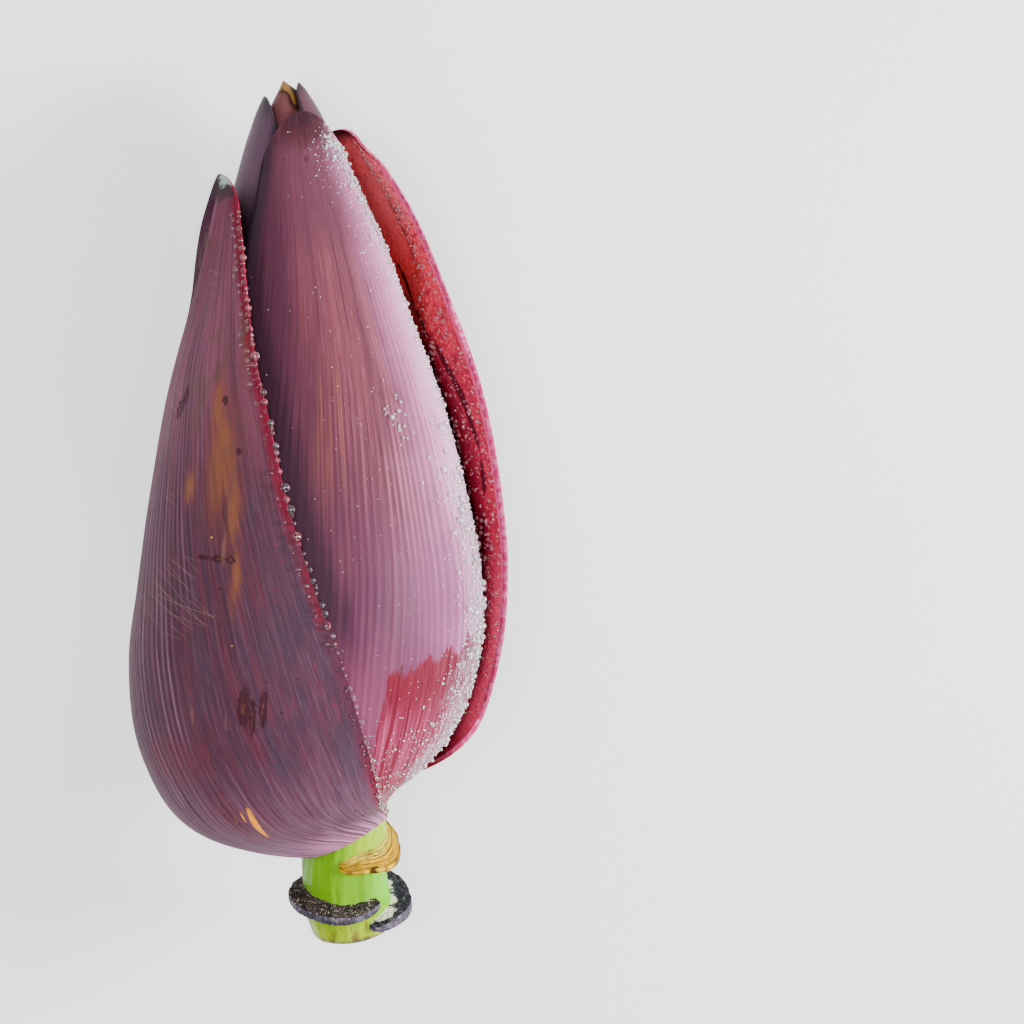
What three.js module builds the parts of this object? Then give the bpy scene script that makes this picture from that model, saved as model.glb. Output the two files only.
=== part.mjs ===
/*
 * Banana blossom, as picked: a closed, pointed bud of thick overlapping bracts on a short cut
 * stem that carries the stubs of bracts already shed. It lies on its side. Units are
 * millimetres: +Y runs from the stem to the tip, +Z is up, and z = 0 is what it lies on.
 *
 * Every bract is a curved slab bent over one bud surface. The surface has two coordinates:
 * theta, the degrees round the bud (0 on top, 90 on the +X side, 180 underneath), and s, the
 * way along it (0 at the neck, 1 at the tip).
 */
import * as THREE from 'three';
import { mergeVertices } from 'three/addons/utils/BufferGeometryUtils.js';

// ---------------------------------------------------------------- driving dimensions
const LAYER_PITCH_BELLY = 2.6;      // from one bract's outer face to the next one's
const LAYER_PITCH_TIP = 1.2;
const PITCH_SHRINKS = [0.55, 0.92]; // the stretch of s over which the first becomes the second
const CLEARANCE = 0.5;              // what of that pitch is air between two bracts
const HIDDEN_CLEARANCE = 0.9;       // the same under the bracts that are nearly all hidden
const MIN_BLADE = 0.65;             // no bract is thinner than this
const MARGIN_THIN = 0.35;           // share of its thickness that a bract loses at its margin
const BUD_DEPTH = 0.95;             // the bud's depth over its width

const RIB_DEPTH = 0.4;              // relief of the long ribs on the outer bracts
const RIBS_START = [0, 0.06];       // the stretches of s over which the ribs rise and fade
const RIBS_FADE = [0.7, 0.88];

const RESTING_OFFSET = LAYER_PITCH_BELLY - RIB_DEPTH; // what lies further out than this touches z = 0
const PRESSED = 0.7;                // share of their spacing that the layers keep above that spot

const LEFT_SHOULDER = 1.4;          // how much fuller the left bract is round its base
const LEFT_TIP_STANDOFF = 2.8;      // how far the left bract's hooded tip stands off the bud
const LEFT_TIP_KEEL = 1.6;          // height of the keel in that hood
const LEFT_KEEL_THETA = -66;        // where that keel runs
const LEFT_KEEL_SPREAD = 24;
const RIGHT_LIP = 3.0;              // how far the right bract's free margin rolls outward
const RIGHT_LIP_WIDTH = 0.28;       // in half widths of the bract
const RIGHT_HINGE = [86, 170];      // it opens from the second theta and is widest at the first
const INNER_RIGHT_LIFT = 0.7;       // how far the inner right bract's point stands off the tip
const APEX_ACROSS = -1.2;           // the inner bud's apex, from the middle of its last ring
const APEX_ALONG = 3.2;

const STEM_LENGTH = 42;             // along its skin, core included
const STUB_GAP = 0.35;              // between the stem and each stub of a shed bract
const STUB_END = 0.25;              // how much of its reach a stub keeps at its two ends

const ROW_SPACING = 1.3;            // over 1, rows lie closer together near the neck

// The bud surface: along (y), across (x), height (z), half width, lean, pitch (degrees).
const BUD_STATIONS = [
  [-89.0, 7.0, 49.0, 14.6, 26.5, 5.5],
  [-84.0, 1.5, 50.0, 24.1, 19.0, 3.5],
  [-77.0, -2.6, 50.7, 35.6, 11.5, 0.5],
  [-63.0, -3.6, 50.6, 44.6, 6.0, -2.5],
  [-38.5, -2.5, 49.0, 50.0, 2.5, -5.5],
  [-18.0, -1.0, 46.8, 48.9, 0.5, -7.5],
  [6.0, -1.3, 43.5, 45.1, 0.0, -8.5],
  [35.5, -2.6, 39.1, 38.6, 0.0, -8.5],
  [61.0, -4.2, 35.2, 30.6, 0.0, -8.5],
  [81.5, -5.5, 32.2, 24.6, 0.0, -8.5],
  [98.5, -6.8, 29.7, 18.1, 0.0, -8.5],
  [110.0, -7.4, 27.9, 14.1, 0.0, -8.5],
  [121.5, -8.4, 26.2, 8.7, 0.0, -8.5],
  [127.0, -8.8, 25.4, 5.0, 0.0, -8.5],
  [130.0, -9.0, 25.0, 0.8, 0.0, -8.5],
];

// The stem, from its cut end up to the underside of the inner bud.
const STEM_STATIONS = [
  [-124.0, 8.9, 46.6, 9.0, 6.0, 3.0],
  [-122.8, 8.9, 46.7, 11.2, 6.0, 3.0],
  [-119.0, 8.8, 46.9, 12.6, 7.0, 3.0],
  [-114.5, 8.0, 47.2, 13.1, 8.0, 3.5],
  [-107.0, 7.2, 47.5, 12.7, 10.0, 4.0],
  [-100.0, 6.8, 48.0, 13.0, 16.0, 4.5],
  [-94.0, 7.0, 48.6, 13.4, 22.0, 5.5],
  [-89.5, 7.0, 49.0, 12.4, 26.5, 5.5],
  [-87.5, 6.0, 49.2, 9.6, 26.5, 5.5],
  [-84.8, 4.7, 49.4, 9.4, 26.5, 5.5],
];

// ---------------------------------------------------------------- curves
const radians = THREE.MathUtils.degToRad;
const ALONG = 0;
const HALF_WIDTH = 3;

/** A smooth curve through the given [x, y] points, each span a cubic. */
function curveThrough(points) {
  const chord = (i) => (points[i + 1][1] - points[i][1]) / (points[i + 1][0] - points[i][0]);
  const span = (i) => points[i + 1][0] - points[i][0];
  const last = points.length - 1;
  const slopes = points.map((_, i) => {
    if (i === 0) return chord(0);
    if (i === last) return chord(last - 1);
    return (span(i) * chord(i - 1) + span(i - 1) * chord(i)) / (span(i - 1) + span(i));
  });
  return (value) => {
    const x = THREE.MathUtils.clamp(value, points[0][0], points[last][0]);
    let i = 0;
    while (i < last - 1 && x > points[i + 1][0]) i += 1;
    const h = span(i);
    const t = (x - points[i][0]) / h;
    const ease = 3 * t ** 2 - 2 * t ** 3;
    const height = THREE.MathUtils.lerp(points[i][1], points[i + 1][1], ease);
    return height + h * (slopes[i] * (t ** 3 - 2 * t ** 2 + t) + slopes[i + 1] * (t ** 3 - t ** 2));
  };
}

const rise = (x, from, to) => THREE.MathUtils.smoothstep(x, from, to);

/** A lofted surface through stations; returns its point at theta degrees and s from 0 to 1. */
function loftThrough(stations, depth) {
  let length = 0;
  const at = stations.map((station, i) => {
    if (i > 0) {
      const before = stations[i - 1];
      length += Math.hypot(station[ALONG] - before[ALONG], station[HALF_WIDTH] - before[HALF_WIDTH]);
    }
    return length;
  });
  const channels = stations[0].map((_, channel) => (
    curveThrough(stations.map((station, i) => [at[i] / length, station[channel]]))
  ));
  return (theta, s) => {
    const [along, across, height, halfWidth, leanAngle, pitchAngle] = channels.map((curve) => curve(s));
    const lean = radians(leanAngle);
    const pitch = radians(pitchAngle);
    const sideways = halfWidth * Math.sin(radians(theta));
    const upward = depth * halfWidth * Math.cos(radians(theta));
    return new THREE.Vector3(
      across + sideways * Math.cos(lean) + upward * Math.sin(lean) * Math.sin(pitch),
      along + sideways * Math.sin(lean) - upward * Math.cos(lean) * Math.sin(pitch),
      height + upward * Math.cos(pitch),
    );
  };
}

/** The outward unit normal of a lofted surface. */
function normalOf(surface, theta, s) {
  const step = 0.002;
  const round = surface(theta + 0.5, s).sub(surface(theta - 0.5, s));
  const onward = surface(theta, Math.min(s + step, 1)).sub(surface(theta, Math.max(s - step, 0)));
  return round.cross(onward).normalize();
}

const budSurface = loftThrough(BUD_STATIONS, BUD_DEPTH);
const stemSurface = loftThrough(STEM_STATIONS, 1);

/** The distance from one bract layer to the next, which shrinks toward the tip. */
const layerPitch = (s) => (
  THREE.MathUtils.lerp(LAYER_PITCH_BELLY, LAYER_PITCH_TIP, rise(s, ...PITCH_SHRINKS))
);

/** The point offset mm outside the bud surface, pressed up where the bud's weight rests. */
function overBud(theta, s, offset) {
  const point = budSurface(theta, s).addScaledVector(normalOf(budSurface, theta, s), offset);
  point.z = Math.max(point.z, 0, PRESSED * (RESTING_OFFSET - offset));
  return point;
}

// ---------------------------------------------------------------- solids
/** A closed slab of two alike skins: place(u, v, inside, column) gives each corner's point. */
function slab(columns, rows, place) {
  const grid = new THREE.PlaneGeometry(2, 1, columns, rows);
  const flat = grid.getAttribute('position');
  const skin = flat.count;
  const corners = [];
  for (const inside of [false, true]) {
    for (let i = 0; i < skin; i += 1) {
      corners.push(...place(flat.getX(i), flat.getY(i) + 0.5, inside, i % (columns + 1)).toArray());
    }
  }
  const outer = Array.from(grid.getIndex().array);
  const faces = [...outer];
  for (let i = 0; i < outer.length; i += 3) {
    faces.push(outer[i + 2] + skin, outer[i + 1] + skin, outer[i] + skin);
  }
  const corner = (column, row) => row * (columns + 1) + column;
  const rim = [];
  for (let i = 0; i < columns; i += 1) rim.push(corner(i, rows));
  for (let i = rows; i > 0; i -= 1) rim.push(corner(columns, i));
  for (let i = columns; i > 0; i -= 1) rim.push(corner(i, 0));
  for (let i = 0; i < rows; i += 1) rim.push(corner(0, i));
  rim.forEach((from, i) => {
    const to = rim[(i + 1) % rim.length];
    faces.push(to, from, from + skin, to, from + skin, to + skin);
  });
  const solid = new THREE.BufferGeometry();
  solid.setAttribute('position', new THREE.Float32BufferAttribute(corners, 3));
  solid.setIndex(faces);
  return solid;
}

/** The middle of a lofted skin's ring at v. */
const middleOf = (skin, v) => skin(0, v).add(skin(180, v)).multiplyScalar(0.5);

/** A closed loft: place(theta, v) gives its skin, and the two end points close it. */
function closedLoft(sides, rings, place, startPoint, endPoint) {
  const solid = new THREE.CylinderGeometry(1, 1, 1, sides, rings);
  solid.deleteAttribute('normal');
  solid.deleteAttribute('uv');
  const corners = solid.getAttribute('position');
  for (let i = 0; i < corners.count; i += 1) {
    const onAxis = Math.hypot(corners.getX(i), corners.getZ(i)) < 0.5;
    const theta = THREE.MathUtils.radToDeg(Math.atan2(corners.getX(i), corners.getZ(i)));
    const v = corners.getY(i) + 0.5;
    const end = v < 0.5 ? startPoint : endPoint;
    const point = onAxis ? end : place(theta, v);
    corners.setXYZ(i, point.x, point.y, point.z);
  }
  return mergeVertices(solid, 1e-4);
}

/**
 * A bract: a slab over the bud surface between two margins, each a curve of theta over s, with
 * an elliptical tip. lift(theta, s, u) is what it adds to its layer's own height.
 */
function bract({ columns, rows, layer, clearance, tip, tipDrop, left, right, lift, ribbed }) {
  const leftMargin = curveThrough(left);
  const rightMargin = curveThrough(right);
  return slab(columns, rows, (u, v, inside, column) => {
    const end = tip - tipDrop * (1 - Math.sqrt(Math.max(0, 1 - u * u)));
    const s = end * v ** ROW_SPACING;
    const theta = THREE.MathUtils.lerp(leftMargin(s), rightMargin(s), (u + 1) / 2);
    const blade = (layerPitch(s) - clearance) * (1 - MARGIN_THIN * Math.abs(u) ** 8);
    const ribs = RIB_DEPTH * rise(s, ...RIBS_START) * (1 - rise(s, ...RIBS_FADE));
    const valley = ribbed && column % 2 === 1 ? ribs : 0;
    const depth = inside ? Math.max(blade, MIN_BLADE) : valley;
    return overBud(theta, s, layer * layerPitch(s) + lift(theta, s, u) - depth);
  });
}

// ---------------------------------------------------------------- bracts, outermost first
/** The left bract: laps across the front of the bud and right round beneath it. */
function bractLeft() {
  return bract({
    columns: 40,
    rows: 18,
    layer: 1,
    clearance: CLEARANCE,
    tip: 0.843,
    tipDrop: 0.042,
    left: [
      [0, -185], [0.1, -190], [0.3, -191], [0.5, -186], [0.64, -172], [0.72, -144], [0.78, -104],
      [0.83, -77],
    ],
    right: [
      [0, 56], [0.04, 47], [0.1, 36], [0.19, 23.5], [0.28, 13], [0.37, 2], [0.46, -6], [0.55, -12.5],
      [0.64, -21], [0.71, -27], [0.76, -31], [0.81, -38], [0.84, -43],
    ],
    lift: (theta, s) => {
      const onLeft = Math.max(0, Math.cos(radians(theta + 80)));
      const nearBase = rise(s, -0.04, 0.08) * (1 - rise(s, 0.08, 0.3));
      const fold = Math.max(0, 1 - Math.abs(theta - LEFT_KEEL_THETA) / LEFT_KEEL_SPREAD);
      const nearTip = LEFT_TIP_STANDOFF * rise(s, 0.66, 0.8) * onLeft;
      return LEFT_SHOULDER * nearBase * onLeft + nearTip + LEFT_TIP_KEEL * rise(s, 0.7, 0.82) * fold;
    },
    ribbed: true,
  });
}

/** The right bract: hinged open at its back, so its red inner face shows past the front bract. */
function bractRight() {
  const flare = curveThrough([
    [0, 0], [0.1, 1.4], [0.16, 3.2], [0.24, 2.2], [0.34, 2], [0.45, 4.4], [0.55, 6.2], [0.65, 7.2],
    [0.74, 7], [0.82, 6], [0.87, 4.4], [0.92, 2.6],
  ]);
  return bract({
    columns: 32,
    rows: 18,
    layer: 1,
    clearance: CLEARANCE,
    tip: 0.909,
    tipDrop: 0.07,
    left: [[0, 116], [0.07, 106], [0.12, 96], [0.22, 89], [0.5, 87], [0.7, 86], [0.84, 78]],
    right: [[0, 205], [0.2, 203], [0.5, 200], [0.7, 192], [0.84, 170]],
    lift: (theta, s, u) => {
      const opened = 1 - rise(theta, ...RIGHT_HINGE);
      const seated = rise(theta, 104, 135) * layerPitch(s);
      const nearMargin = Math.max(0, 1 - (u + 1) / RIGHT_LIP_WIDTH) ** 2;
      return flare(s) * opened + RIGHT_LIP * nearMargin * rise(s, 0.12, 0.4) - seated;
    },
    ribbed: true,
  });
}

/** The front bract: the broad ribbed one in the middle. */
function bractFront() {
  return bract({
    columns: 36,
    rows: 18,
    layer: 0,
    clearance: CLEARANCE,
    tip: 0.929,
    tipDrop: 0.081,
    left: [[0, -40], [0.2, -44], [0.5, -42], [0.7, -33], [0.85, -29]],
    right: [[0, 98], [0.2, 98], [0.5, 96], [0.7, 89], [0.85, 79]],
    lift: () => 0,
    ribbed: true,
  });
}

/** The back left bract: shows only near the tip, behind the left and front bracts. */
function bractBackLeft() {
  return bract({
    columns: 18,
    rows: 14,
    layer: -1,
    clearance: HIDDEN_CLEARANCE,
    tip: 0.955,
    tipDrop: 0.06,
    left: [[0, -205], [0.5, -205], [0.75, -180], [0.9, -128]],
    right: [[0, -20], [0.5, -22], [0.75, -20], [0.9, -15]],
    lift: () => 0,
    ribbed: false,
  });
}

/** The inner right bract: a dark-edged point beside the very tip. */
function bractInnerRight() {
  return bract({
    columns: 14,
    rows: 14,
    layer: -2,
    clearance: HIDDEN_CLEARANCE,
    tip: 0.98,
    tipDrop: 0.03,
    left: [[0, 5], [0.5, 5], [0.8, 15], [0.95, 25]],
    right: [[0, 185], [0.5, 185], [0.8, 165], [0.95, 140]],
    lift: (theta, s) => INNER_RIGHT_LIFT * rise(s, 0.88, 0.95),
    ribbed: false,
  });
}

/** The inner bud: the bracts that are still tightly closed, as one body with its own tip. */
function innerBud() {
  const layer = -3;
  const end = 0.97;
  const skin = (theta, v) => {
    const s = end * v ** ROW_SPACING;
    return overBud(theta, s, layer * layerPitch(s));
  };
  const apex = middleOf(skin, 1).add(new THREE.Vector3(APEX_ACROSS, APEX_ALONG, 0));
  return closedLoft(22, 16, skin, middleOf(skin, 0), apex);
}

// ---------------------------------------------------------------- stem and stubs
/** The cut stem, with the narrow core inside that the bracts' bases sit round. */
function stem() {
  return closedLoft(24, 16, stemSurface, middleOf(stemSurface, 0), middleOf(stemSurface, 1));
}

/**
 * The stub of a shed bract: a crescent ledge round part of the stem, between two thetas. Its
 * root is a curve of the stem's s over theta; it stands out by reach (mm) at its middle and
 * sags toward the cut end by droop (in s).
 */
function stub({ from, to, root, rootThickness, lipThickness, reach, droop }) {
  const rootLine = curveThrough(root);
  return slab(18, 4, (u, v, inside) => {
    const theta = THREE.MathUtils.lerp(from, to, (u + 1) / 2);
    const crescent = THREE.MathUtils.lerp(STUB_END, 1, Math.sqrt(Math.max(0, 1 - u * u)));
    const outward = 1 - v;
    const halfThick = THREE.MathUtils.lerp(lipThickness, rootThickness, v) / 2 / STEM_LENGTH;
    const s = rootLine(theta) - outward * droop * crescent + (inside ? -halfThick : halfThick);
    const grown = STUB_GAP + outward * reach * crescent;
    return stemSurface(theta, s).addScaledVector(normalOf(stemSurface, theta, s), grown);
  });
}

/** The dark dried stub that rings the stem's front and left. */
function stubLeft() {
  return stub({
    from: -128,
    to: 46,
    root: [[-130, 0.47], [-95, 0.455], [-40, 0.385], [0, 0.325], [50, 0.33]],
    rootThickness: 3.2,
    lipThickness: 2.0,
    reach: 5.4,
    droop: 0.055,
  });
}

/** The dark stub on the right, lower and turned further back. */
function stubRight() {
  return stub({
    from: 28,
    to: 165,
    root: [[20, 0.155], [60, 0.2], [90, 0.225], [130, 0.33], [170, 0.385]],
    rootThickness: 3.2,
    lipThickness: 2.2,
    reach: 6.2,
    droop: 0.015,
  });
}

/** The yellow-brown fibrous stub just under the bracts. */
function stubUpper() {
  return stub({
    from: -4,
    to: 128,
    root: [[-5, 0.675], [30, 0.665], [55, 0.635], [75, 0.645], [110, 0.716], [130, 0.742]],
    rootThickness: 2.2,
    lipThickness: 1.4,
    reach: 5.2,
    droop: 0.09,
  });
}

// ---------------------------------------------------------------- the blossom
const blossom = new THREE.Group();

function add(name, geometry, colour, roughness) {
  geometry.computeVertexNormals();
  const material = new THREE.MeshStandardMaterial({ color: colour, roughness, metalness: 0 });
  const mesh = new THREE.Mesh(geometry, material);
  mesh.name = name;
  blossom.add(mesh);
}

add('bract_left', bractLeft(), 0x6b3a4f, 0.5);
add('bract_right', bractRight(), 0x9c2336, 0.5);
add('bract_front', bractFront(), 0x8a5468, 0.45);
add('bract_back_left', bractBackLeft(), 0x6a4a5a, 0.5);
add('bract_inner_right', bractInnerRight(), 0x6e3c46, 0.5);
add('inner_bud', innerBud(), 0x9a5240, 0.5);
add('stem', stem(), 0x9fc02a, 0.4);
add('bract_stub_left', stubLeft(), 0x2e2725, 0.8);
add('bract_stub_right', stubRight(), 0x33302e, 0.8);
add('bract_stub_upper', stubUpper(), 0xb08a45, 0.7);

export default blossom;
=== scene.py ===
# %% [markdown]
# # A whole banana blossom
#
# A banana blossom is a closed bud of thick leaves called bracts, wrapped one over another like
# the pages of a rolled magazine. This lesson dresses the coarse solids of such a bud with the
# ribs, bloom, scars, dew and fibres that make it look freshly picked. The solids come in as a
# frame that must not move: they already lie where they should, in metres, with the tip at +Y,
# the top at +Z and the surface that the bud lies on at z = 0.

# %% Load the frame and list its nodes
import math
import random

import bmesh
import bpy
import numpy as np
from mathutils import Matrix, Vector, noise


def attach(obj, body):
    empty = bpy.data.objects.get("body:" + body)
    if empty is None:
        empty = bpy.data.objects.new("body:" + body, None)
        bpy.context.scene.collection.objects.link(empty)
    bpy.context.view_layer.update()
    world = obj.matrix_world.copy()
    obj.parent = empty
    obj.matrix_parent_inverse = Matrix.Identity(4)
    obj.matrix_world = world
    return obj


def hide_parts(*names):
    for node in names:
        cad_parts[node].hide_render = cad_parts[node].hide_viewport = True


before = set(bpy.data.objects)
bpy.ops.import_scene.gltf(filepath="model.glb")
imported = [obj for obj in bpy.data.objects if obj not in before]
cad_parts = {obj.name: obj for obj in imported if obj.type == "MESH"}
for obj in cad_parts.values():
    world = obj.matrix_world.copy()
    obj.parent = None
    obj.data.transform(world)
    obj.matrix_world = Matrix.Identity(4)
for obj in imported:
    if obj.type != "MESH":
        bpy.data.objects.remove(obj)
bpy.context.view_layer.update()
print("nodes:", ", ".join(sorted(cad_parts)))

# %% [markdown]
# ## Light, floor and camera
#
# The bud lies on a pale floor. A large soft lamp on the right gives the ribs their shading and
# the drops their sparks; a weaker one on the left keeps the shadows open, and a pale world lifts
# everything. The camera looks down from high over the tip side, with a long lens, so that the
# bud is drawn almost without perspective.

# %% Floor
MM = 0.001
FLOOR_REACH = 4.0


def keep(bm, name, closed=True):
    """Turns a bmesh into an object, smooth shaded, at the origin, a closed one facing outward."""
    if closed:
        bmesh.ops.recalc_face_normals(bm, faces=bm.faces[:])
    mesh = bpy.data.meshes.new(name)
    bm.to_mesh(mesh)
    bm.free()
    mesh.shade_smooth()
    made = bpy.data.objects.new(name, mesh)
    bpy.context.collection.objects.link(made)
    print(name, "faces:", len(mesh.polygons))
    return made


bm = bmesh.new()
bmesh.ops.create_grid(bm, x_segments=1, y_segments=1, size=FLOOR_REACH)
floor = keep(bm, "floor", closed=False)

# %% Camera
PIXEL_MM = 0.29
CAMERA_AWAY = 0.9
CAMERA_LEAN = math.radians(-9.5)
LOOKS_AT = Vector((56.55, 3.0, 47.5)) * MM
SENSOR = 36.0
FRAME_PIXELS = 1024

camera_data = bpy.data.cameras.new("camera")
camera_data.sensor_width = SENSOR
camera_data.lens = SENSOR * CAMERA_AWAY / (PIXEL_MM * MM * FRAME_PIXELS)
camera = bpy.data.objects.new("camera", camera_data)
camera.rotation_euler = (CAMERA_LEAN, 0, 0)
camera.location = LOOKS_AT + Matrix.Rotation(CAMERA_LEAN, 3, "X") @ Vector((0, 0, CAMERA_AWAY))
bpy.context.collection.objects.link(camera)
bpy.context.scene.camera = camera
print("lens %.1f mm" % camera_data.lens)

# %% Lamps
# name: (place, size, watts)
LAMPS = {
    "key": ((0.95, 0.1, 0.5), 0.3, 21.0),
    "overhead": ((-0.15, 0.12, 1.1), 0.4, 7.5),
    "foot": ((0.25, -0.9, 0.6), 0.5, 4.4),
    "fill": ((-0.8, 0.1, 0.7), 0.7, 1.8),
    "spark": ((0.35, 0.45, 0.9), 0.06, 1.6),
}
LAMPS_AIM = Vector((0, 0, 0.05))
WORLD_STRENGTH = 0.3

for name, (place, size, watts) in LAMPS.items():
    lamp_data = bpy.data.lights.new(name, "AREA")
    lamp_data.size = size
    lamp_data.energy = watts
    lamp = bpy.data.objects.new(name, lamp_data)
    lamp.location = place
    lamp.rotation_euler = (LAMPS_AIM - Vector(place)).to_track_quat("-Z", "Y").to_euler()
    bpy.context.collection.objects.link(lamp)

world = bpy.data.worlds.new("studio")
world.use_nodes = True
background = world.node_tree.nodes["Background"].inputs
background["Color"].default_value = (1, 1, 1, 1)
background["Strength"].default_value = WORLD_STRENGTH
bpy.context.scene.world = world
print(len(LAMPS), "lamps")

# %% [markdown]
# ## The surface that every bract is bent over
#
# A bract is a sheet, so it could be sculpted, or draped over the solids. Here it is bent by a
# formula instead, because the bracts then nest without touching. The bud is a loft through
# stations, and a place on it has two coordinates: theta, the degrees round it (0 on top, 90 on
# the right, 180 underneath), and s, the way along it (0 at the neck, 1 at the tip). NumPy works
# on all the corners of a sheet at once, which keeps fine sheets quick.

# %% Curves
# Each row: along (y), across (x), height (z), half width, all in mm, then lean and pitch.
BUD_STATIONS = [
    (-89, 7, 49, 14.6, 26.5, 5.5),
    (-84, 1.5, 50, 24.1, 19, 3.5),
    (-77, -2.6, 50.7, 35.6, 11.5, 0.5),
    (-63, -3.6, 50.6, 44.6, 6, -2.5),
    (-38.5, -2.5, 49, 50, 2.5, -5.5),
    (-18, -1, 46.8, 48.9, 0.5, -7.5),
    (6, -1.3, 43.5, 45.1, 0, -8.5),
    (35.5, -2.6, 39.1, 38.6, 0, -8.5),
    (61, -4.2, 35.2, 30.6, 0, -8.5),
    (81.5, -5.5, 32.2, 24.6, 0, -8.5),
    (98.5, -6.8, 29.7, 18.1, 0, -8.5),
    (110, -7.4, 27.9, 14.1, 0, -8.5),
    (121.5, -8.4, 26.2, 8.7, 0, -8.5),
    (127, -8.8, 25.4, 5, 0, -8.5),
    (130, -9, 25, 0.8, 0, -8.5),
]
ALONG, HALF_WIDTH = 0, 3


def smooth_curve(points):
    """A smooth curve through (x, y) points, each span a cubic; works on arrays."""
    x, y = np.array(sorted(points), float).T
    span = np.diff(x)
    chord = np.diff(y) / span
    slope = np.concatenate([chord[:1], chord[:1].repeat(len(x) - 2), chord[-1:]])
    slope[1:-1] = (span[1:] * chord[:-1] + span[:-1] * chord[1:]) / (span[:-1] + span[1:])

    def at(value):
        value = np.clip(value, x[0], x[-1])
        i = np.clip(np.searchsorted(x, value, side="right") - 1, 0, len(span) - 1)
        t = (value - x[i]) / span[i]
        bend = slope[i] * (t**3 - 2 * t**2 + t) + slope[i + 1] * (t**3 - t**2)
        return y[i] + (y[i + 1] - y[i]) * (3 * t**2 - 2 * t**3) + span[i] * bend

    return at


print("widest half, mm:", max(row[HALF_WIDTH] for row in BUD_STATIONS))

# %% The loft
BUD_DEPTH = 0.95


def loft(stations, depth):
    """The surface through the stations: place(theta, s) gives points in mm."""
    rows = np.array(stations)
    steps = np.hypot(np.diff(rows[:, ALONG]), np.diff(rows[:, HALF_WIDTH]))
    at = np.concatenate([[0], np.cumsum(steps)]) / steps.sum()
    channels = [smooth_curve(list(zip(at, column))) for column in rows.T]

    def place(theta, s):
        along, across, height, half, lean, pitch = (channel(s) for channel in channels)
        lean, pitch, turn = np.radians(lean), np.radians(pitch), np.radians(theta)
        side, up = half * np.sin(turn), depth * half * np.cos(turn)
        x = across + side * np.cos(lean) + up * np.sin(lean) * np.sin(pitch)
        y = along + side * np.sin(lean) - up * np.cos(lean) * np.sin(pitch)
        return np.stack([x, y, height + up * np.cos(pitch)], axis=-1)

    return place


def outward(surface, theta, s, turn=0.5, step=0.002):
    """Unit normals of a lofted surface, from places a small turn and a small step away."""
    across = surface(theta + turn, s) - surface(theta - turn, s)
    onward = surface(theta, np.minimum(s + step, 1)) - surface(theta, np.maximum(s - step, 0))
    normal = np.cross(across, onward)
    return normal / np.linalg.norm(normal, axis=-1, keepdims=True)


bud = loft(BUD_STATIONS, BUD_DEPTH)
print("bud, mm:", bud(0.0, 0.0).round(1), "to", bud(0.0, 1.0).round(1))

# %% [markdown]
# ## Layers
#
# Each bract keeps its own layer over that surface, 2.6 mm from the next at the belly and 1.2 mm
# near the tip, so there is always air between them. Where the bud's weight rests, the layers are
# pressed together against the floor.

# %% Layers over the bud
PITCH_BELLY, PITCH_TIP = 2.6, 1.2
THINS_FROM, THINS_TO = 0.55, 0.92
CAD_RIB = 0.4
RESTING_OFFSET = PITCH_BELLY - CAD_RIB
PRESSED = 0.7


def rise(x, start, end):
    """0 before start, 1 after end, smooth between."""
    t = np.clip((x - start) / (end - start), 0, 1)
    return t * t * (3 - 2 * t)


def layer_pitch(s):
    return PITCH_BELLY + (PITCH_TIP - PITCH_BELLY) * rise(s, THINS_FROM, THINS_TO)


def over_bud(theta, s, offset):
    """Points offset mm outside the bud, pressed up where it rests."""
    points = bud(theta, s) + outward(bud, theta, s) * np.asarray(offset)[..., None]
    lowest = np.maximum(0, PRESSED * (RESTING_OFFSET - offset))
    points[..., 2] = np.maximum(points[..., 2], lowest)
    return points


def wander(x, y, seed, waves=7):
    """Smooth unevenness of about -1 to 1: a few crossing waves with seeded directions."""
    dice = random.Random(seed)
    total = 0
    for _ in range(waves):
        limits = ((0, math.tau), (0.5, 1.6), (0, math.tau))
        turn, pace, start = (dice.uniform(*limit) for limit in limits)
        total = total + np.sin(math.tau * pace * (x * math.cos(turn) + y * math.sin(turn)) + start)
    return total / math.sqrt(2 * waves)


print("pitch at the belly and the tip, mm:", layer_pitch(0.2), layer_pitch(1.0))

# %% [markdown]
# ## A bract's sheet
#
# The sheet starts as a flat grid. Extruding the whole grid gives it an inner skin and a rim in one
# go. Then every corner is moved by formula: u runs from one margin to the other, v from base to
# tip, and each skin goes to its own height over the bud. The long ribs are real relief, about
# 2.5 mm apart, and the two skins and the rim get material slots of their own, because a bract is
# waxy purple outside and red inside. The rim's corners are beveled, so the margin catches light
# as a soft edge.

# %% Two skins and a rim
OUTSIDE, INSIDE, RIM = 0, 1, 2


def two_skins(columns, rows):
    """A grid and its copy, joined by a rim; the corners' flat places and which are inside."""
    bm = bmesh.new()
    bm.loops.layers.uv.new("sheet")
    bmesh.ops.create_grid(bm, x_segments=columns, y_segments=rows, size=1, calc_uvs=True)
    grown = bmesh.ops.extrude_face_region(bm, geom=bm.faces[:])["geom"]
    inner = {item for item in grown if isinstance(item, bmesh.types.BMVert)}
    for face in bm.faces:
        count = sum(corner in inner for corner in face.verts)
        face.material_index = INSIDE if count == len(face.verts) else RIM if count else OUTSIDE
    flat = np.array([corner.co for corner in bm.verts])
    return bm, flat[:, 0], flat[:, 1], np.array([corner in inner for corner in bm.verts])


def move(bm, points):
    for corner, point in zip(bm.verts, points):
        corner.co = point


print("skins ready")

# %% The bract
CLEARANCE, HIDDEN_CLEARANCE = 0.5, 0.9
MIN_BLADE = 0.65
MARGIN_THIN = 0.35
MARGIN_ROUND = 0.22 * MM
ROW_SPACING = 1.3


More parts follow.
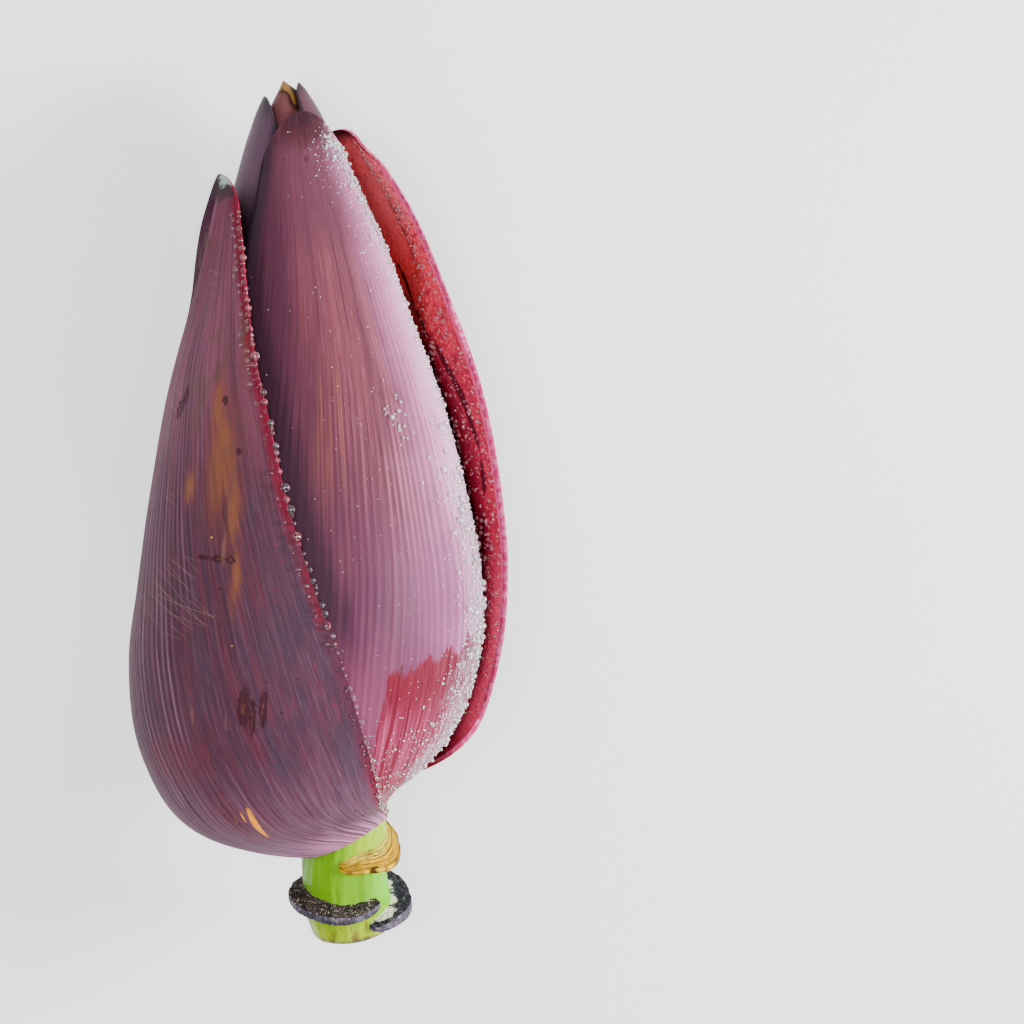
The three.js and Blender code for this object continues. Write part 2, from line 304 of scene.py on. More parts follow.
def ribs_at(u, v, count, seed, sharp):
    """Rib height, 0 to 1: every rib has a strength of its own, and all of them drift."""
    dice = random.Random(seed)
    own = np.array([dice.random() for _ in range(count + 4)])
    phase = count * (u + 1) / 2 + 0.8 * wander(u * 3, v * 0.9, seed)
    nearest = np.clip(np.round(phase).astype(int) + 1, 0, count + 3)
    crest = (0.5 + 0.5 * np.cos(math.tau * phase)) ** sharp
    strength = (0.45 + 0.55 * own[nearest]) * (0.8 + 0.2 * wander(u * 5, v * 2.5, seed + 1))
    return np.clip(crest * strength, 0, 1)


class Bract:
    """What a bract's sheet, its fields and its dew all need to know about its shape."""

    def __init__(
        self, left, right, tip, drop, layer, lift, ribs, relief, seed, sharp=1.4,
        firm=lambda theta, s: np.ones_like(theta), clearance=CLEARANCE, swell=lambda s, u: 0,
    ):
        self.left, self.right = smooth_curve(left), smooth_curve(right)
        self.tip, self.drop, self.layer, self.lift = tip, drop, layer, lift
        self.ribs, self.relief, self.seed = ribs, relief, seed
        self.sharp, self.firm, self.clearance, self.swell = sharp, firm, clearance, swell

    def end(self, u):
        """s where the sheet ends: its tip is an arch, lower toward the margins."""
        return self.tip - self.drop * (1 - np.sqrt(np.clip(1 - u * u, 0, 1)))

    def where(self, u, v):
        """theta and s of the sheet's own coordinates."""
        s = self.end(u) * np.clip(v, 0, 1) ** ROW_SPACING
        return self.left(s) + (self.right(s) - self.left(s)) * (u + 1) / 2, s

    def height(self, theta, s, u):
        return self.layer * layer_pitch(s) + self.lift(theta, s, u)

    def blade(self, s, u):
        full = (layer_pitch(s) - self.clearance) * (1 - MARGIN_THIN * np.abs(u) ** 8)
        return np.maximum(full, MIN_BLADE) + self.swell(s, u)

    def rib_relief(self, theta, s, u, v):
        fade = rise(s, 0, 0.06) * (1 - rise(s, 0.7, 0.9)) * (1 - np.abs(u) ** 12)
        ribs = ribs_at(u, v, self.ribs, self.seed, self.sharp)
        return self.relief * fade * self.firm(theta, s) * (1 - ribs)

    def sheet(self, name, columns, rows):
        """The closed sheet as an object, with its u and v in the UV map named sheet."""
        bm, u, v, inside = two_skins(columns, rows)
        v = (v + 1) / 2
        theta, s = self.where(u, v)
        depth = np.where(inside, self.blade(s, u), self.rib_relief(theta, s, u, v))
        move(bm, over_bud(theta, s, self.height(theta, s, u) - depth) * MM)
        rim = [e for e in bm.edges if sum(f.material_index == RIM for f in e.link_faces) == 1]
        bmesh.ops.bevel(
            bm, geom=rim, offset=MARGIN_ROUND, segments=2, profile=0.5, affect="EDGES",
            material=-1, clamp_overlap=True,
        )
        return keep(bm, name)


print("bract ready")

# %% [markdown]
# ## Shapes of the five bracts
#
# Margins are curves of theta over s. The outermost bract sits on the left and laps across the
# front, with a hooded, keeled tip that stands off the bud. The right one has come open at its
# front margin, whose lip rolls outward. The front one fills the middle. Two more show only near
# the tip.

# %% Left bract
LEFT_MARGIN = [
    (0, 56), (0.04, 47), (0.1, 36), (0.19, 23.5), (0.28, 13), (0.37, 2), (0.46, -6),
    (0.55, -12.5), (0.64, -21), (0.71, -27), (0.76, -31), (0.81, -38), (0.84, -43),
]
LEFT_BACK = [
    (0, -185), (0.1, -190), (0.3, -191), (0.5, -186), (0.64, -172), (0.72, -144), (0.78, -104),
    (0.83, -77),
]
KEEL_THETA, KEEL_SPREAD, KEEL_HEIGHT = -60, 22, 1.6
LEFT_MIDDLE = 80
SHOULDER, HOOD, CREASE = 1.4, 2.8, 0.5
UNEVEN = 0.12


def uneven(theta, s, u, seed):
    """Slight unevenness, always inward, that leaves the margins alone."""
    return np.minimum(UNEVEN * wander(theta / 40, s * 4, seed), 0) * (1 - np.abs(u) ** 4)


def left_lift(theta, s, u):
    """Fuller shoulder, hooded tip with its keel, and a soft fold near the neck."""
    on_left = np.maximum(0, np.cos(np.radians(theta + LEFT_MIDDLE)))
    near_base = rise(s, -0.04, 0.08) * (1 - rise(s, 0.08, 0.3))
    fold = np.maximum(0, 1 - np.abs(theta - KEEL_THETA) / KEEL_SPREAD)
    crease = np.exp(-(((theta - 24 + 150 * (0.15 - s)) / 5) ** 2)) * rise(s, 0.0, 0.04)
    crease = crease * (1 - rise(s, 0.1, 0.2))
    return (
        SHOULDER * near_base * on_left + HOOD * rise(s, 0.66, 0.8) * on_left
        + KEEL_HEIGHT * rise(s, 0.7, 0.82) * fold - CREASE * crease + uneven(theta, s, u, 31)
    )


def left_firm(theta, s):
    """Ribs stand out on the shaded side and gather again at the foot."""
    return np.maximum(0.15 + 0.85 * rise(-theta, 30, 48), 0.6 * (1 - rise(s, 0.12, 0.26)))


left = Bract(
    LEFT_BACK, LEFT_MARGIN, 0.843, 0.042, 1, left_lift, ribs=74, relief=0.26, seed=11,
    sharp=2.4, firm=left_firm,
)
bract_left = left.sheet("left_bract", 400, 104)
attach(bract_left, "root")
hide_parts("bract_left")

# %% Right bract
RIGHT_FRONT = [
    (0, 116), (0.07, 106), (0.12, 96), (0.22, 89), (0.5, 87), (0.7, 86), (0.84, 78),
]
RIGHT_BACK = [(0, 205), (0.2, 203), (0.5, 200), (0.7, 192), (0.84, 170)]
right_flare = smooth_curve([
    (0, 0), (0.1, 1.4), (0.16, 3.2), (0.24, 2.2), (0.34, 2), (0.45, 4.4), (0.55, 6.2), (0.65, 7.2),
    (0.74, 7), (0.82, 6), (0.87, 4.4), (0.92, 2.6),
])
RIGHT_LIP, LIP_WIDTH, LIP_SWELL = 3.0, 0.28, 0.85


def right_lift(theta, s, u):
    """Hinged open along its front margin, which rolls outward as a lip."""
    opened = 1 - rise(theta, 86, 170)
    near_margin = np.maximum(0, 1 - (u + 1) / LIP_WIDTH) ** 2
    seated = rise(theta, 104, 135) * layer_pitch(s)
    return right_flare(s) * opened + RIGHT_LIP * near_margin * rise(s, 0.12, 0.4) - seated


def right_swell(s, u):
    """Thicker behind its lip, where its red face slopes down to the bract beside it."""
    across = u + 1
    behind_lip = rise(across, 0.02, 0.2) * (1 - rise(across, 0.4, 0.8))
    return LIP_SWELL * right_flare(s) * behind_lip * (1 - rise(s, 0.6, 0.76)) * rise(s, 0.1, 0.2)


right = Bract(
    RIGHT_FRONT, RIGHT_BACK, 0.909, 0.07, 1, right_lift, ribs=40, relief=0.2, seed=12,
    swell=right_swell,
)
bract_right = right.sheet("right_bract", 200, 110)
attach(bract_right, "root")
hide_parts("bract_right")

# %% Front bract, whose ribs fade out toward the tip
FRONT_LEFT = [(0, -40), (0.2, -44), (0.5, -42), (0.7, -33), (0.85, -29)]
FRONT_RIGHT = [(0, 98), (0.2, 98), (0.5, 96), (0.7, 89), (0.85, 79)]
front = Bract(
    FRONT_LEFT, FRONT_RIGHT, 0.929, 0.081, 0, lambda theta, s, u: uneven(theta, s, u, 32),
    ribs=48, relief=0.16, seed=13, firm=lambda theta, s: 1 - 0.8 * rise(s, 0.36, 0.66),
)
bract_front = front.sheet("front_bract", 300, 120)
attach(bract_front, "root")
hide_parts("bract_front")

# %% Back left and inner right bracts
BACK_LEFT = [(0, -205), (0.5, -205), (0.75, -180), (0.9, -128)]
BACK_RIGHT = [(0, -20), (0.5, -22), (0.75, -20), (0.9, -15)]
INNER_LEFT = [(0, 5), (0.5, 5), (0.8, 15), (0.95, 25)]
INNER_RIGHT = [(0, 185), (0.5, 185), (0.8, 165), (0.95, 140)]
INNER_LIFT = 0.7
back = Bract(
    BACK_LEFT, BACK_RIGHT, 0.955, 0.06, -1, lambda theta, s, u: 0,
    ribs=60, relief=0.12, seed=14, clearance=HIDDEN_CLEARANCE,
)
bract_back = back.sheet("back_bract", 150, 110)
inner = Bract(
    INNER_LEFT, INNER_RIGHT, 0.98, 0.03, -2, lambda theta, s, u: INNER_LIFT * rise(s, 0.88, 0.95),
    ribs=50, relief=0.1, seed=15, clearance=HIDDEN_CLEARANCE,
)
bract_inner = inner.sheet("inner_bract", 90, 110)
for piece, node_name in ((bract_back, "bract_back_left"), (bract_inner, "bract_inner_right")):
    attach(piece, "root")
    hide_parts(node_name)

# %% [markdown]
# ## The closed inner bud
#
# Everything still closed inside shows only as a small brick-red point. A grid is bent round into
# a tube, its seam merged, and its two open ends filled and poked, so the last ring runs to a
# slightly off-centre apex.

# %% Tubes and the inner bud
SEAM = 0.001 * MM
CORE_LAYER, CORE_END, CORE_GAP, FURROW = -3, 0.97, 0.35, 0.35


def tube(name, sides, rings, skin, apex=(0, 0, 0)):
    """A closed tube: skin(theta, v) gives its places in mm, apex moves the far end's middle."""
    bm = bmesh.new()
    bm.loops.layers.uv.new("sheet")
    bmesh.ops.create_grid(bm, x_segments=sides, y_segments=rings, size=1, calc_uvs=True)
    flat = np.array([corner.co for corner in bm.verts])
    move(bm, skin(180 * flat[:, 0], (flat[:, 1] + 1) / 2) * MM)
    bmesh.ops.remove_doubles(bm, verts=bm.verts[:], dist=SEAM)
    start, end = skin(np.array([[0.0, 180.0]] * 2), np.array([[0.0, 0.0], [1.0, 1.0]])).sum(1) / 2
    middles = [Vector(start) * MM, (Vector(end) + Vector(apex)) * MM]
    open_edges = [edge for edge in bm.edges if edge.is_boundary]
    for cap in bmesh.ops.holes_fill(bm, edges=open_edges, sides=0)["faces"]:
        nearest = min(middles, key=lambda middle: (cap.calc_center_median() - middle).length)
        bmesh.ops.poke(bm, faces=[cap])["verts"][0].co = nearest
    return keep(bm, name)


def core_skin(theta, v):
    s = CORE_END * v**ROW_SPACING
    furrow = FURROW * rise(s, 0.85, 0.95) * np.cos(np.radians(3 * theta + 60))
    return over_bud(theta, s, CORE_LAYER * layer_pitch(s) - CORE_GAP + furrow)


inner_bud = tube("core_bud", 96, 120, core_skin, apex=(-1.2, 3.2, 0))
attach(inner_bud, "root")
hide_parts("inner_bud")

# %% [markdown]
# ## Stem and dried stubs
#
# The stem is another loft, with faint fibres running along it. Three ledges stand on it: what is
# left of bracts that have dropped. Each is a crescent sheet, thick at its root. The two dark ones
# are crumbly on top, so their corners are pushed about by a noise; the yellow one is torn into
# long fibres.

# %% Stem
STEM_STATIONS = [
    (-124, 8.9, 46.6, 9, 6, 3),
    (-122.8, 8.9, 46.7, 11.2, 6, 3),
    (-119, 8.8, 46.9, 12.6, 7, 3),
    (-114.5, 8, 47.2, 13.1, 8, 3.5),
    (-107, 7.2, 47.5, 12.7, 10, 4),
    (-100, 6.8, 48, 13, 16, 4.5),
    (-94, 7, 48.6, 13.4, 22, 5.5),
    (-89.5, 7, 49, 12.4, 26.5, 5.5),
    (-87.5, 6, 49.2, 9.6, 26.5, 5.5),
    (-84.8, 4.7, 49.4, 9.4, 26.5, 5.5),
]
FIBRES, FLUTES, STEM_DENTS = 0.12, 0.1, 0.25
stem_loft = loft(STEM_STATIONS, 1.0)


def stem_skin(theta, v):
    turn = np.radians(theta)
    fibres = FIBRES * np.cos(23 * turn + 2 * wander(v, 0, 41)) + FLUTES * np.cos(9 * turn + 1)
    fade = rise(v, 0.02, 0.1) * (1 - rise(v, 0.75, 0.9))
    dents = STEM_DENTS * (wander(np.cos(turn) * 0.6 + 3, v * 2 + np.sin(turn) * 0.6, 42) - 1)
    offset = (fibres * fade + np.minimum(dents, 0) * fade)[..., None]
    return stem_loft(theta, v) + outward(stem_loft, theta, v) * offset


stem = tube("cut_stem", 120, 110, stem_skin)
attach(stem, "root")
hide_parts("stem")

# %% How a stub is made
STEM_LENGTH = 42
STUB_GAP = -0.5
STUB_END = 0.25
STUB_COLUMNS, STUB_ROWS = 150, 26
UNDER_ROUGH = 0.35
PUSH_ALONG, PUSH_AWAY = 0.55, 0.45


def stub(name, start, end, root, root_thick, lip_thick, reach, droop, rough):
    """A crescent ledge on the stem; rough(u, out, point) gives its relief in mm."""
    bm, u, v, below = two_skins(STUB_COLUMNS, STUB_ROWS)
    out = (1 - v) / 2
    theta = start + (end - start) * (u + 1) / 2
    crescent = STUB_END + (1 - STUB_END) * np.sqrt(np.clip(1 - u * u, 0, 1))
    half = (lip_thick + (root_thick - lip_thick) * (1 - out)) / 2 / STEM_LENGTH
    half = half * (0.3 + 0.7 * crescent)
    s = smooth_curve(root)(theta) - out * droop * crescent + np.where(below, -half, half)
    grown_out = STUB_GAP + out * reach * crescent
    points = stem_loft(theta, s) + outward(stem_loft, theta, s) * grown_out[..., None]
    middle = Vector(points.mean(axis=0))
    for corner, point, a, b, is_below in zip(bm.verts, points, u.tolist(), out.tolist(), below):
        place = Vector(point)
        push = rough(a, b, place) * (UNDER_ROUGH if is_below else 1.0) * min(1.0, 4 * b)
        along = Vector((0, -1 if is_below else 1, 0))
        away = (place - middle).normalized()
        corner.co = (place + (PUSH_ALONG * along + PUSH_AWAY * b * away) * push) * MM
    piece = keep(bm, name)
    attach(piece, "root")
    return piece


print("corners of a stub:", 2 * (STUB_COLUMNS + 1) * (STUB_ROWS + 1))

# %% Stubs
def crumbly(u, out, point):
    """Grains about a millimetre across, over larger lumps."""
    grains = noise.noise(point * 1.6) + 0.5 * noise.noise(point * 3.3)
    return 0.55 * grains + 0.5 * noise.noise(point * 0.35) - 0.25


def fibrous(u, out, point):
    """Ridges that follow the ledge round, and a torn lip."""
    lines = math.sin(out * 26 + 3 * noise.noise(Vector((u * 3, out * 2, 5))))
    return 0.42 * lines + 0.7 * noise.noise(Vector((u * 9, out * 3, 1))) - 0.3


stub_left = stub(
    "dark_stub_left", -128, 46, [(-130, 0.47), (-95, 0.455), (-40, 0.385), (0, 0.325), (50, 0.33)],
    3.2, 2.0, 5.4, 0.055, crumbly,
)
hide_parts("bract_stub_left")
stub_right = stub(
    "dark_stub_right", 28, 165, [(20, 0.155), (60, 0.2), (90, 0.225), (130, 0.33), (170, 0.385)],
    3.2, 2.2, 6.2, 0.015, crumbly,
)
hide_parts("bract_stub_right")
stub_upper = stub(
    "brown_stub_upper", -4, 128,
    [(-5, 0.675), (30, 0.665), (55, 0.635), (75, 0.645), (110, 0.716), (130, 0.742)],
    2.2, 1.4, 5.2, 0.09, fibrous,
)
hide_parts("bract_stub_upper")

# %% [markdown]
# ## Fields: where each colour goes
#
# A real bract isn't one colour: bloom, bruises, rubbed patches and a crimson edge each have their
# place. Painting textures by hand would tie them to an image, so each mark is given here as a
# place and a size on the bract. It is stored in every corner as a field that materials can read:
# 1 in the mark's middle, 0 on its outline. The material turns that into a ragged edge with noise,
# however fine the render is.

# %% Storing fields
def sheet_places(piece):
    """u, v of every corner of a finished sheet, read back from its UV map."""
    mesh = piece.data
    loops = np.empty(len(mesh.loops), np.int32)
    mesh.loops.foreach_get("vertex_index", loops)
    map_uv = np.empty(2 * len(mesh.loops), np.float32)
    mesh.uv_layers["sheet"].uv.foreach_get("vector", map_uv)
    spot = np.zeros((len(mesh.vertices), 2))
    spot[loops] = map_uv.reshape(-1, 2)
    return 2 * spot[:, 0] - 1, spot[:, 1]


def store(piece, name, values):
    """Keeps one number for each corner as a field that materials can read."""
    field = piece.data.attributes.new(name, "FLOAT", "POINT")
    field.data.foreach_set("value", np.asarray(values, np.float32))


def spots(theta, s, marks):
    """1 at the middle of the nearest mark, 0 on its outline, down to -1 far away.

    Each mark is (theta, s, half width in degrees, half length in s, tilt)."""
    best = np.full(theta.shape, -1.0)
    for at_theta, at_s, half_theta, half_s, tilt in marks:
        across = (theta - at_theta - tilt * (s - at_s)) / half_theta
        best = np.maximum(best, 1 - np.hypot(across, (s - at_s) / half_s))
    return best


print("a spot's middle and outline:", spots(np.array([0, 5]), np.zeros(2), [(0, 0, 5, 1, 0)]))

# %% Fields that every bract has
BELLY_RADIUS, TIP_NARROWS = 40, 0.6


def bract_fields(piece, bract, side, **marks):
    """Stores where each corner is, its rib, its millimetres from a margin (side is 1 for the
    second margin and -1 for the first) and the marks; gives theta and s back."""
    u, v = sheet_places(piece)
    theta, s = bract.where(u, v)
    store(piece, "theta", theta)
    store(piece, "s", s)
    store(piece, "rib", ribs_at(u, v, bract.ribs, bract.seed, bract.sharp))
    store(piece, "firm", bract.firm(theta, s))
    width = np.radians(np.abs(bract.right(s) - bract.left(s))) * BELLY_RADIUS
    store(piece, "edge", (1 - side * u) / 2 * width * (1 - TIP_NARROWS * rise(s, 0.5, 1)))
    for name, places in marks.items():
        store(piece, name, spots(theta, s, places))
    print(piece.name, "fields:", len(piece.data.attributes))
    return theta, s


bract_fields(bract_back, back, 1)
bract_fields(bract_inner, inner, -1)

# %% Fields of the left bract
theta, s = bract_fields(
    bract_left, left, 1,
    ochre=[
        (-30, 0.5, 10, 0.1, 10), (-24, 0.44, 5, 0.07, 10), (-34, 0.565, 5, 0.06, 0),
        (-22, 0.66, 5, 0.07, 0), (-44, 0.47, 4, 0.03, 0), (-22, 0.37, 3, 0.05, 0),
    ],
    wound=[(-20, 0.107, 1.6, 0.028, 4), (-23.6, 0.118, 0.6, 0.009, 4),
           (-27.5, 0.116, 0.35, 0.008, 4)],
    slit=[(-35, 0.228, 0.7, 0.018, 0), (-22.5, 0.222, 0.6, 0.015, 0), (-30, 0.19, 0.5, 0.01, 0),
          (-26.8, 0.4, 1.2, 0.03, 10)],
    scar=[
        (-16.5, 0.236, 2.2, 0.022, 6), (-13.8, 0.228, 1.4, 0.02, 6), (-10.3, 0.236, 1.4, 0.022, 6),
        (-30.8, 0.569, 1.5, 0.007, 0), (-23.5, 0.509, 1.2, 0.006, 0), (-34, 0.391, 3, 0.003, 60),
        (-29, 0.389, 3, 0.003, -60), (-24, 0.388, 2, 0.004, 0), (-57, 0.56, 3, 0.012, 40),
        (-54, 0.575, 2, 0.012, 60), (-42, 0.586, 2, 0.003, 0),
    ],
    maroon=[(-27, 0.105, 14, 0.035, -60), (-48, 0.18, 16, 0.025, 0)],
    scratch=[
        (-55.8, 0.452, 5, 0.012, 0), (-44, 0.376, 9, 0.016, 0), (-53, 0.355, 9, 0.03, 0),
        (-44, 0.332, 10, 0.03, 0), (-62, 0.33, 8, 0.03, 0), (-66, 0.57, 8, 0.05, 0),
        (-50, 0.72, 5, 0.03, 0), (-34, 0.33, 7, 0.012, 0),
    ],
    knob=[(-51, 0.84, 14, 0.022, 0)],
)
# Degrees past the keel's edge near the tip: the finish paints a highlight along the keel and shade
# on the flank beyond it.
FLANK_FROM, NO_FLANK = 0.64, -30
flank_edge = smooth_curve([
    (FLANK_FROM, -96), (0.7, -73), (0.735, -63), (0.76, -58), (0.84, -56.5),
])
store(bract_left, "flank", np.where(s > FLANK_FROM, flank_edge(s) - theta, NO_FLANK))

# %% Fields of the front bract
theta, s = bract_fields(
    bract_front, front, -1,
    ochre=[(8, 0.5, 16, 0.2, 0), (13, 0.38, 10, 0.12, 0)],
    frost=[(82, 0.3, 16, 0.14, 0), (76, 0.16, 22, 0.13, -20), (60, 0.11, 9, 0.07, 30),
           (66, 0.87, 12, 0.03, 0), (76, 0.8, 8, 0.08, 0)],
    tipmark=[(16, 0.932, 46, 0.042, 0)],
    scar=[(-4.2, 0.864, 2.6, 0.006, 0), (17.3, 0.867, 3.2, 0.008, 0), (35, 0.264, 1, 0.01, 0),
          (48, 0.135, 1.6, 0.006, 0)],
)
# Degrees from the left bract's margin: the finish paints shade beside it.
LEFT_TIP_S, LEFT_TIP_THETA = 0.84, -43
beside_left = np.where(s < LEFT_TIP_S, theta - left.right(s), theta - LEFT_TIP_THETA)
store(bract_front, "under", beside_left)
RUBBED_THETA, RUBBED_S = 29, 0.256
rubbed_top = RUBBED_S + 0.0009 * (theta - 30) + 0.008 * wander(theta / 9, 0, 51)
rubbed_left = RUBBED_THETA + 1.5 * wander(s * 9, 0, 52)
rubbed = np.minimum((rubbed_top - s) / 0.016, (theta - rubbed_left) / 3).clip(-1, 1)
store(bract_front, "rubbed", rubbed * np.where(s > 0.02, 1, -1))

# %% Fields of the right bract
bract_fields(bract_right, right, -1, crease=[
    (114, 0.714, 1.4, 0.035, 140), (103, 0.664, 1.6, 0.03, 276), (94.6, 0.612, 0.7, 0.03, 40),
    (93.2, 0.575, 0.8, 0.03, 35), (92.2, 0.535, 0.7, 0.03, 25), (92.2, 0.475, 0.7, 0.025, -20),
    (94.8, 0.42, 0.8, 0.02, -60), (96, 0.397, 0.7, 0.016, -60), (101, 0.78, 1, 0.05, 0),
])

# %% Fields of the inner bud, the stem and the stubs
# The middle and the half width, in degrees, of what each stub spans.
RIGHT_STUB, UPPER_STUB = (96, 68), (62, 66)

u, v = sheet_places(inner_bud)
store(inner_bud, "apex", spots(180 * u, CORE_END * np.clip(v, 0, 1) ** ROW_SPACING, [
    (24, 0.962, 14, 0.014, 0), (6, 0.969, 40, 0.005, 0), (-60, 0.97, 60, 0.003, 0),
]))
u, v = sheet_places(stem)
store(stem, "theta", 180 * u)
store(stem, "s", v)
u, v = sheet_places(stub_right)
middle, half = RIGHT_STUB
store(stub_right, "mould", spots(u * half + middle, v, [
    (50, 0.85, 20, 0.6, 0), (84, 0.92, 14, 0.3, 0), (118, 0.92, 20, 0.26, 0),
]))
u, v = sheet_places(stub_upper)
middle, half = UPPER_STUB
store(stub_upper, "split", spots(u * half + middle, v, [
    (34, 0.06, 10, 0.1, 0), (112, 0.5, 4, 0.4, 0),
]))
print("fields stored")

# %% [markdown]
# ## How a finish is built
#
# Every finish here is a stack of paint: a first colour, then one colour after another laid over
# it, each where some values are high or low. A small helper keeps that stack readable. Streaks
# are noise stretched along the sheet, read in the sheet's own coordinates so that they follow the
# ribs and gather at the tip; blotches and grain are noise in Object coordinates, in millimetres.

# %% Colours
def colour(red, green, blue):
    """A colour given as 0 to 255 on a screen, as the linear light that shaders want."""
    return tuple(
        (c / 255 / 12.92) if c <= 10 else ((c / 255 + 0.055) / 1.055) ** 2.4
        for c in (red, green, blue)
    ) + (1.0,)


print("middle grey in linear light:", round(colour(128, 128, 128)[0], 3))

# %% Finishes
WAXY = 0.1
# The gap between hairlines in mm, and how much of it one takes.
HAIR_GAP, HAIR_THIN = 3.1, 0.01
# Blender's wave texture repeats every 2 pi / 20 of a unit.
WAVE_PERIOD = math.tau / 20
# The Mix node's colour sockets have only their places to tell them apart.
MIX_UNDER, MIX_OVER, MIX_RESULT = 6, 7, 2


class Finish:
    """A material being painted, layer over layer. A value is a socket or a field's name."""

    def __init__(self, name, base, roughness):
        self.material = bpy.data.materials.new(name)
        self.material.use_nodes = True
        self.tree = self.material.node_tree
        self.shader = self.tree.nodes["Principled BSDF"]
        self.fields = {}
        self.plug(self.shader, {
            "Base Color": colour(*base), "Roughness": roughness, "Specular IOR Level": WAXY,
        })
        self.top = colour(*base)

    def plug(self, node, inputs):
        """Links sockets into a node's inputs, and sets plain values on them."""
        for key, value in inputs.items():
            if isinstance(value, bpy.types.NodeSocket):
                self.tree.links.new(value, node.inputs[key])
            else:
                node.inputs[key].default_value = value

    def add(self, kind, inputs, output=0, **settings):
        """A new node with its inputs and settings; gives one of its outputs."""
        made = self.tree.nodes.new(kind)
        for key, value in settings.items():
            setattr(made, key, value)
        self.plug(made, inputs)
        return made.outputs[output]

    def read(self, value):
        """A socket as it is, or the field of that name."""
        if not isinstance(value, str):
            return value
        if value not in self.fields:
            self.fields[value] = self.add("ShaderNodeAttribute", {}, "Fac", attribute_name=value)
        return self.fields[value]

    def compute(self, operation, *values):
        """One sum on sockets and plain numbers."""
        return self.add("ShaderNodeMath", dict(enumerate(values)), operation=operation)

    def ragged(self, value, unevenness, amount=1.0):
        """A value made uneven, so that marks read from it get a ragged outline."""
        return self.compute("MULTIPLY_ADD", unevenness, amount, self.read(value))

    def ease(self, value, low, high, most=1.0):
        """0 below low, most above high, smooth between; low over high turns it round."""
        inputs = {"Value": self.read(value), "From Min": low, "From Max": high, "To Max": most}
        return self.add("ShaderNodeMapRange", inputs, interpolation_type="SMOOTHSTEP")

    def where(self, *masks):
        """The product of masks, each a socket or what ease takes."""
        first, *others = [self.ease(*mask) if isinstance(mask, tuple) else mask for mask in masks]
        for other in others:
            first = self.compute("MULTIPLY", first, other)
        return first

    def paint(self, *layers):
        """Lays colours over what is there; each layer is a colour, then its masks."""
        for over, *masks in layers:
            inputs = {0: self.where(*masks), MIX_UNDER: self.top, MIX_OVER: colour(*over)}
            self.top = self.add("ShaderNodeMix", inputs, MIX_RESULT, data_type="RGBA")

    def noise(self, vector, scale, detail, rough):
        inputs = {"Vector": vector, "Scale": scale, "Detail": detail, "Roughness": rough}
        return self.add("ShaderNodeTexNoise", inputs)

    def uv(self):
        return self.add("ShaderNodeUVMap", {}, uv_map="sheet")

    def streaks(self, across, along, seed, detail=4.0, rough=0.6):
        """Noise drawn out along the sheet: across and along are how many fit each way."""
        moved = {"Scale": (across, along, 1), "Location": (seed, seed * 2.3, seed)}
        drawn = self.add("ShaderNodeMapping", {"Vector": self.uv(), **moved})
        return self.noise(drawn, 1.0, detail, rough)

    def on_object(self, kind="POINT", **turned):
        spot = self.add("ShaderNodeTexCoord", {}, "Object")
        return self.add("ShaderNodeMapping", {"Vector": spot, **turned}, vector_type=kind)

    def blotches(self, size_mm, detail=3.0, rough=0.55, stretch=1.0):
        """Noise on the object itself, about size_mm across."""
        spot = self.on_object(Scale=(1, 1 / stretch, 1))
        return self.noise(spot, 1 / (size_mm * MM), detail, rough)

    def cells(self, size_mm):
        """Distance to the nearest of many points about size_mm apart."""
        spot = self.add("ShaderNodeTexCoord", {}, "Object")
        return self.add("ShaderNodeTexVoronoi", {"Vector": spot, "Scale": 1 / (size_mm * MM)})

    def hairlines(self, turn):
        """Thin bent lines, turned that many degrees, and only short stretches of each."""
        spot = self.on_object("TEXTURE", Rotation=(0, 0, math.radians(turn)), Scale=(1, 9, 9))
        bent = {"Scale": WAVE_PERIOD / (HAIR_GAP * MM), "Distortion": 3.0, "Detail": 0.0}
        line = self.add("ShaderNodeTexWave", {"Vector": spot, **bent}, "Fac")
        stretch = self.noise(spot, 0.7 / (HAIR_GAP * MM), 1.0, 0.5)
        return self.where((line, 1 - HAIR_THIN, 1 - 0.3 * HAIR_THIN), (stretch, 0.52, 0.57))

    def relief(self, *layers):
        """Stacks bumps: each layer is (height socket, millimetres)."""
        below = {}
        for height, depth in layers:
            inputs = {"Height": height, "Distance": depth * MM, "Strength": 1.0, **below}
            below = {"Normal": self.add("ShaderNodeBump", inputs)}
        self.plug(self.shader, below)

    def done(self, **shader):
        """The material, with anything more that its shader needs."""
        self.plug(self.shader, {"Base Color": self.top})
        for name, value in shader.items():
            self.plug(self.shader, {name.replace("_", " "): value})
        return self.material


print("wave scale for lines 1 mm apart:", round(WAVE_PERIOD / MM))

# %% Plainer finishes, and dressing a piece
def mottled(name, base, roughness, over, size_mm, low, high, depth, bump_mm=1.2):
    """A plainer finish: one colour blotched with another, and a little relief."""
    finish = Finish(name, base, roughness)
    finish.paint((over, (finish.blotches(size_mm), low, high)))
    finish.relief((finish.blotches(bump_mm), depth))
    return finish


def dress(piece, *materials):
    for material in materials:
        piece.data.materials.append(material)
    print(piece.name, "wears", ", ".join(material.name for material in materials))


# %% [markdown]
# ## The left bract's skin
#
# The oldest and most weathered bract: maroon under a blue-grey bloom, finely streaked, with an
# ochre patch where it has begun to tan, a few scabs, a pale nick that goes through the skin,
# crossed hairline scratches and a crimson edge.

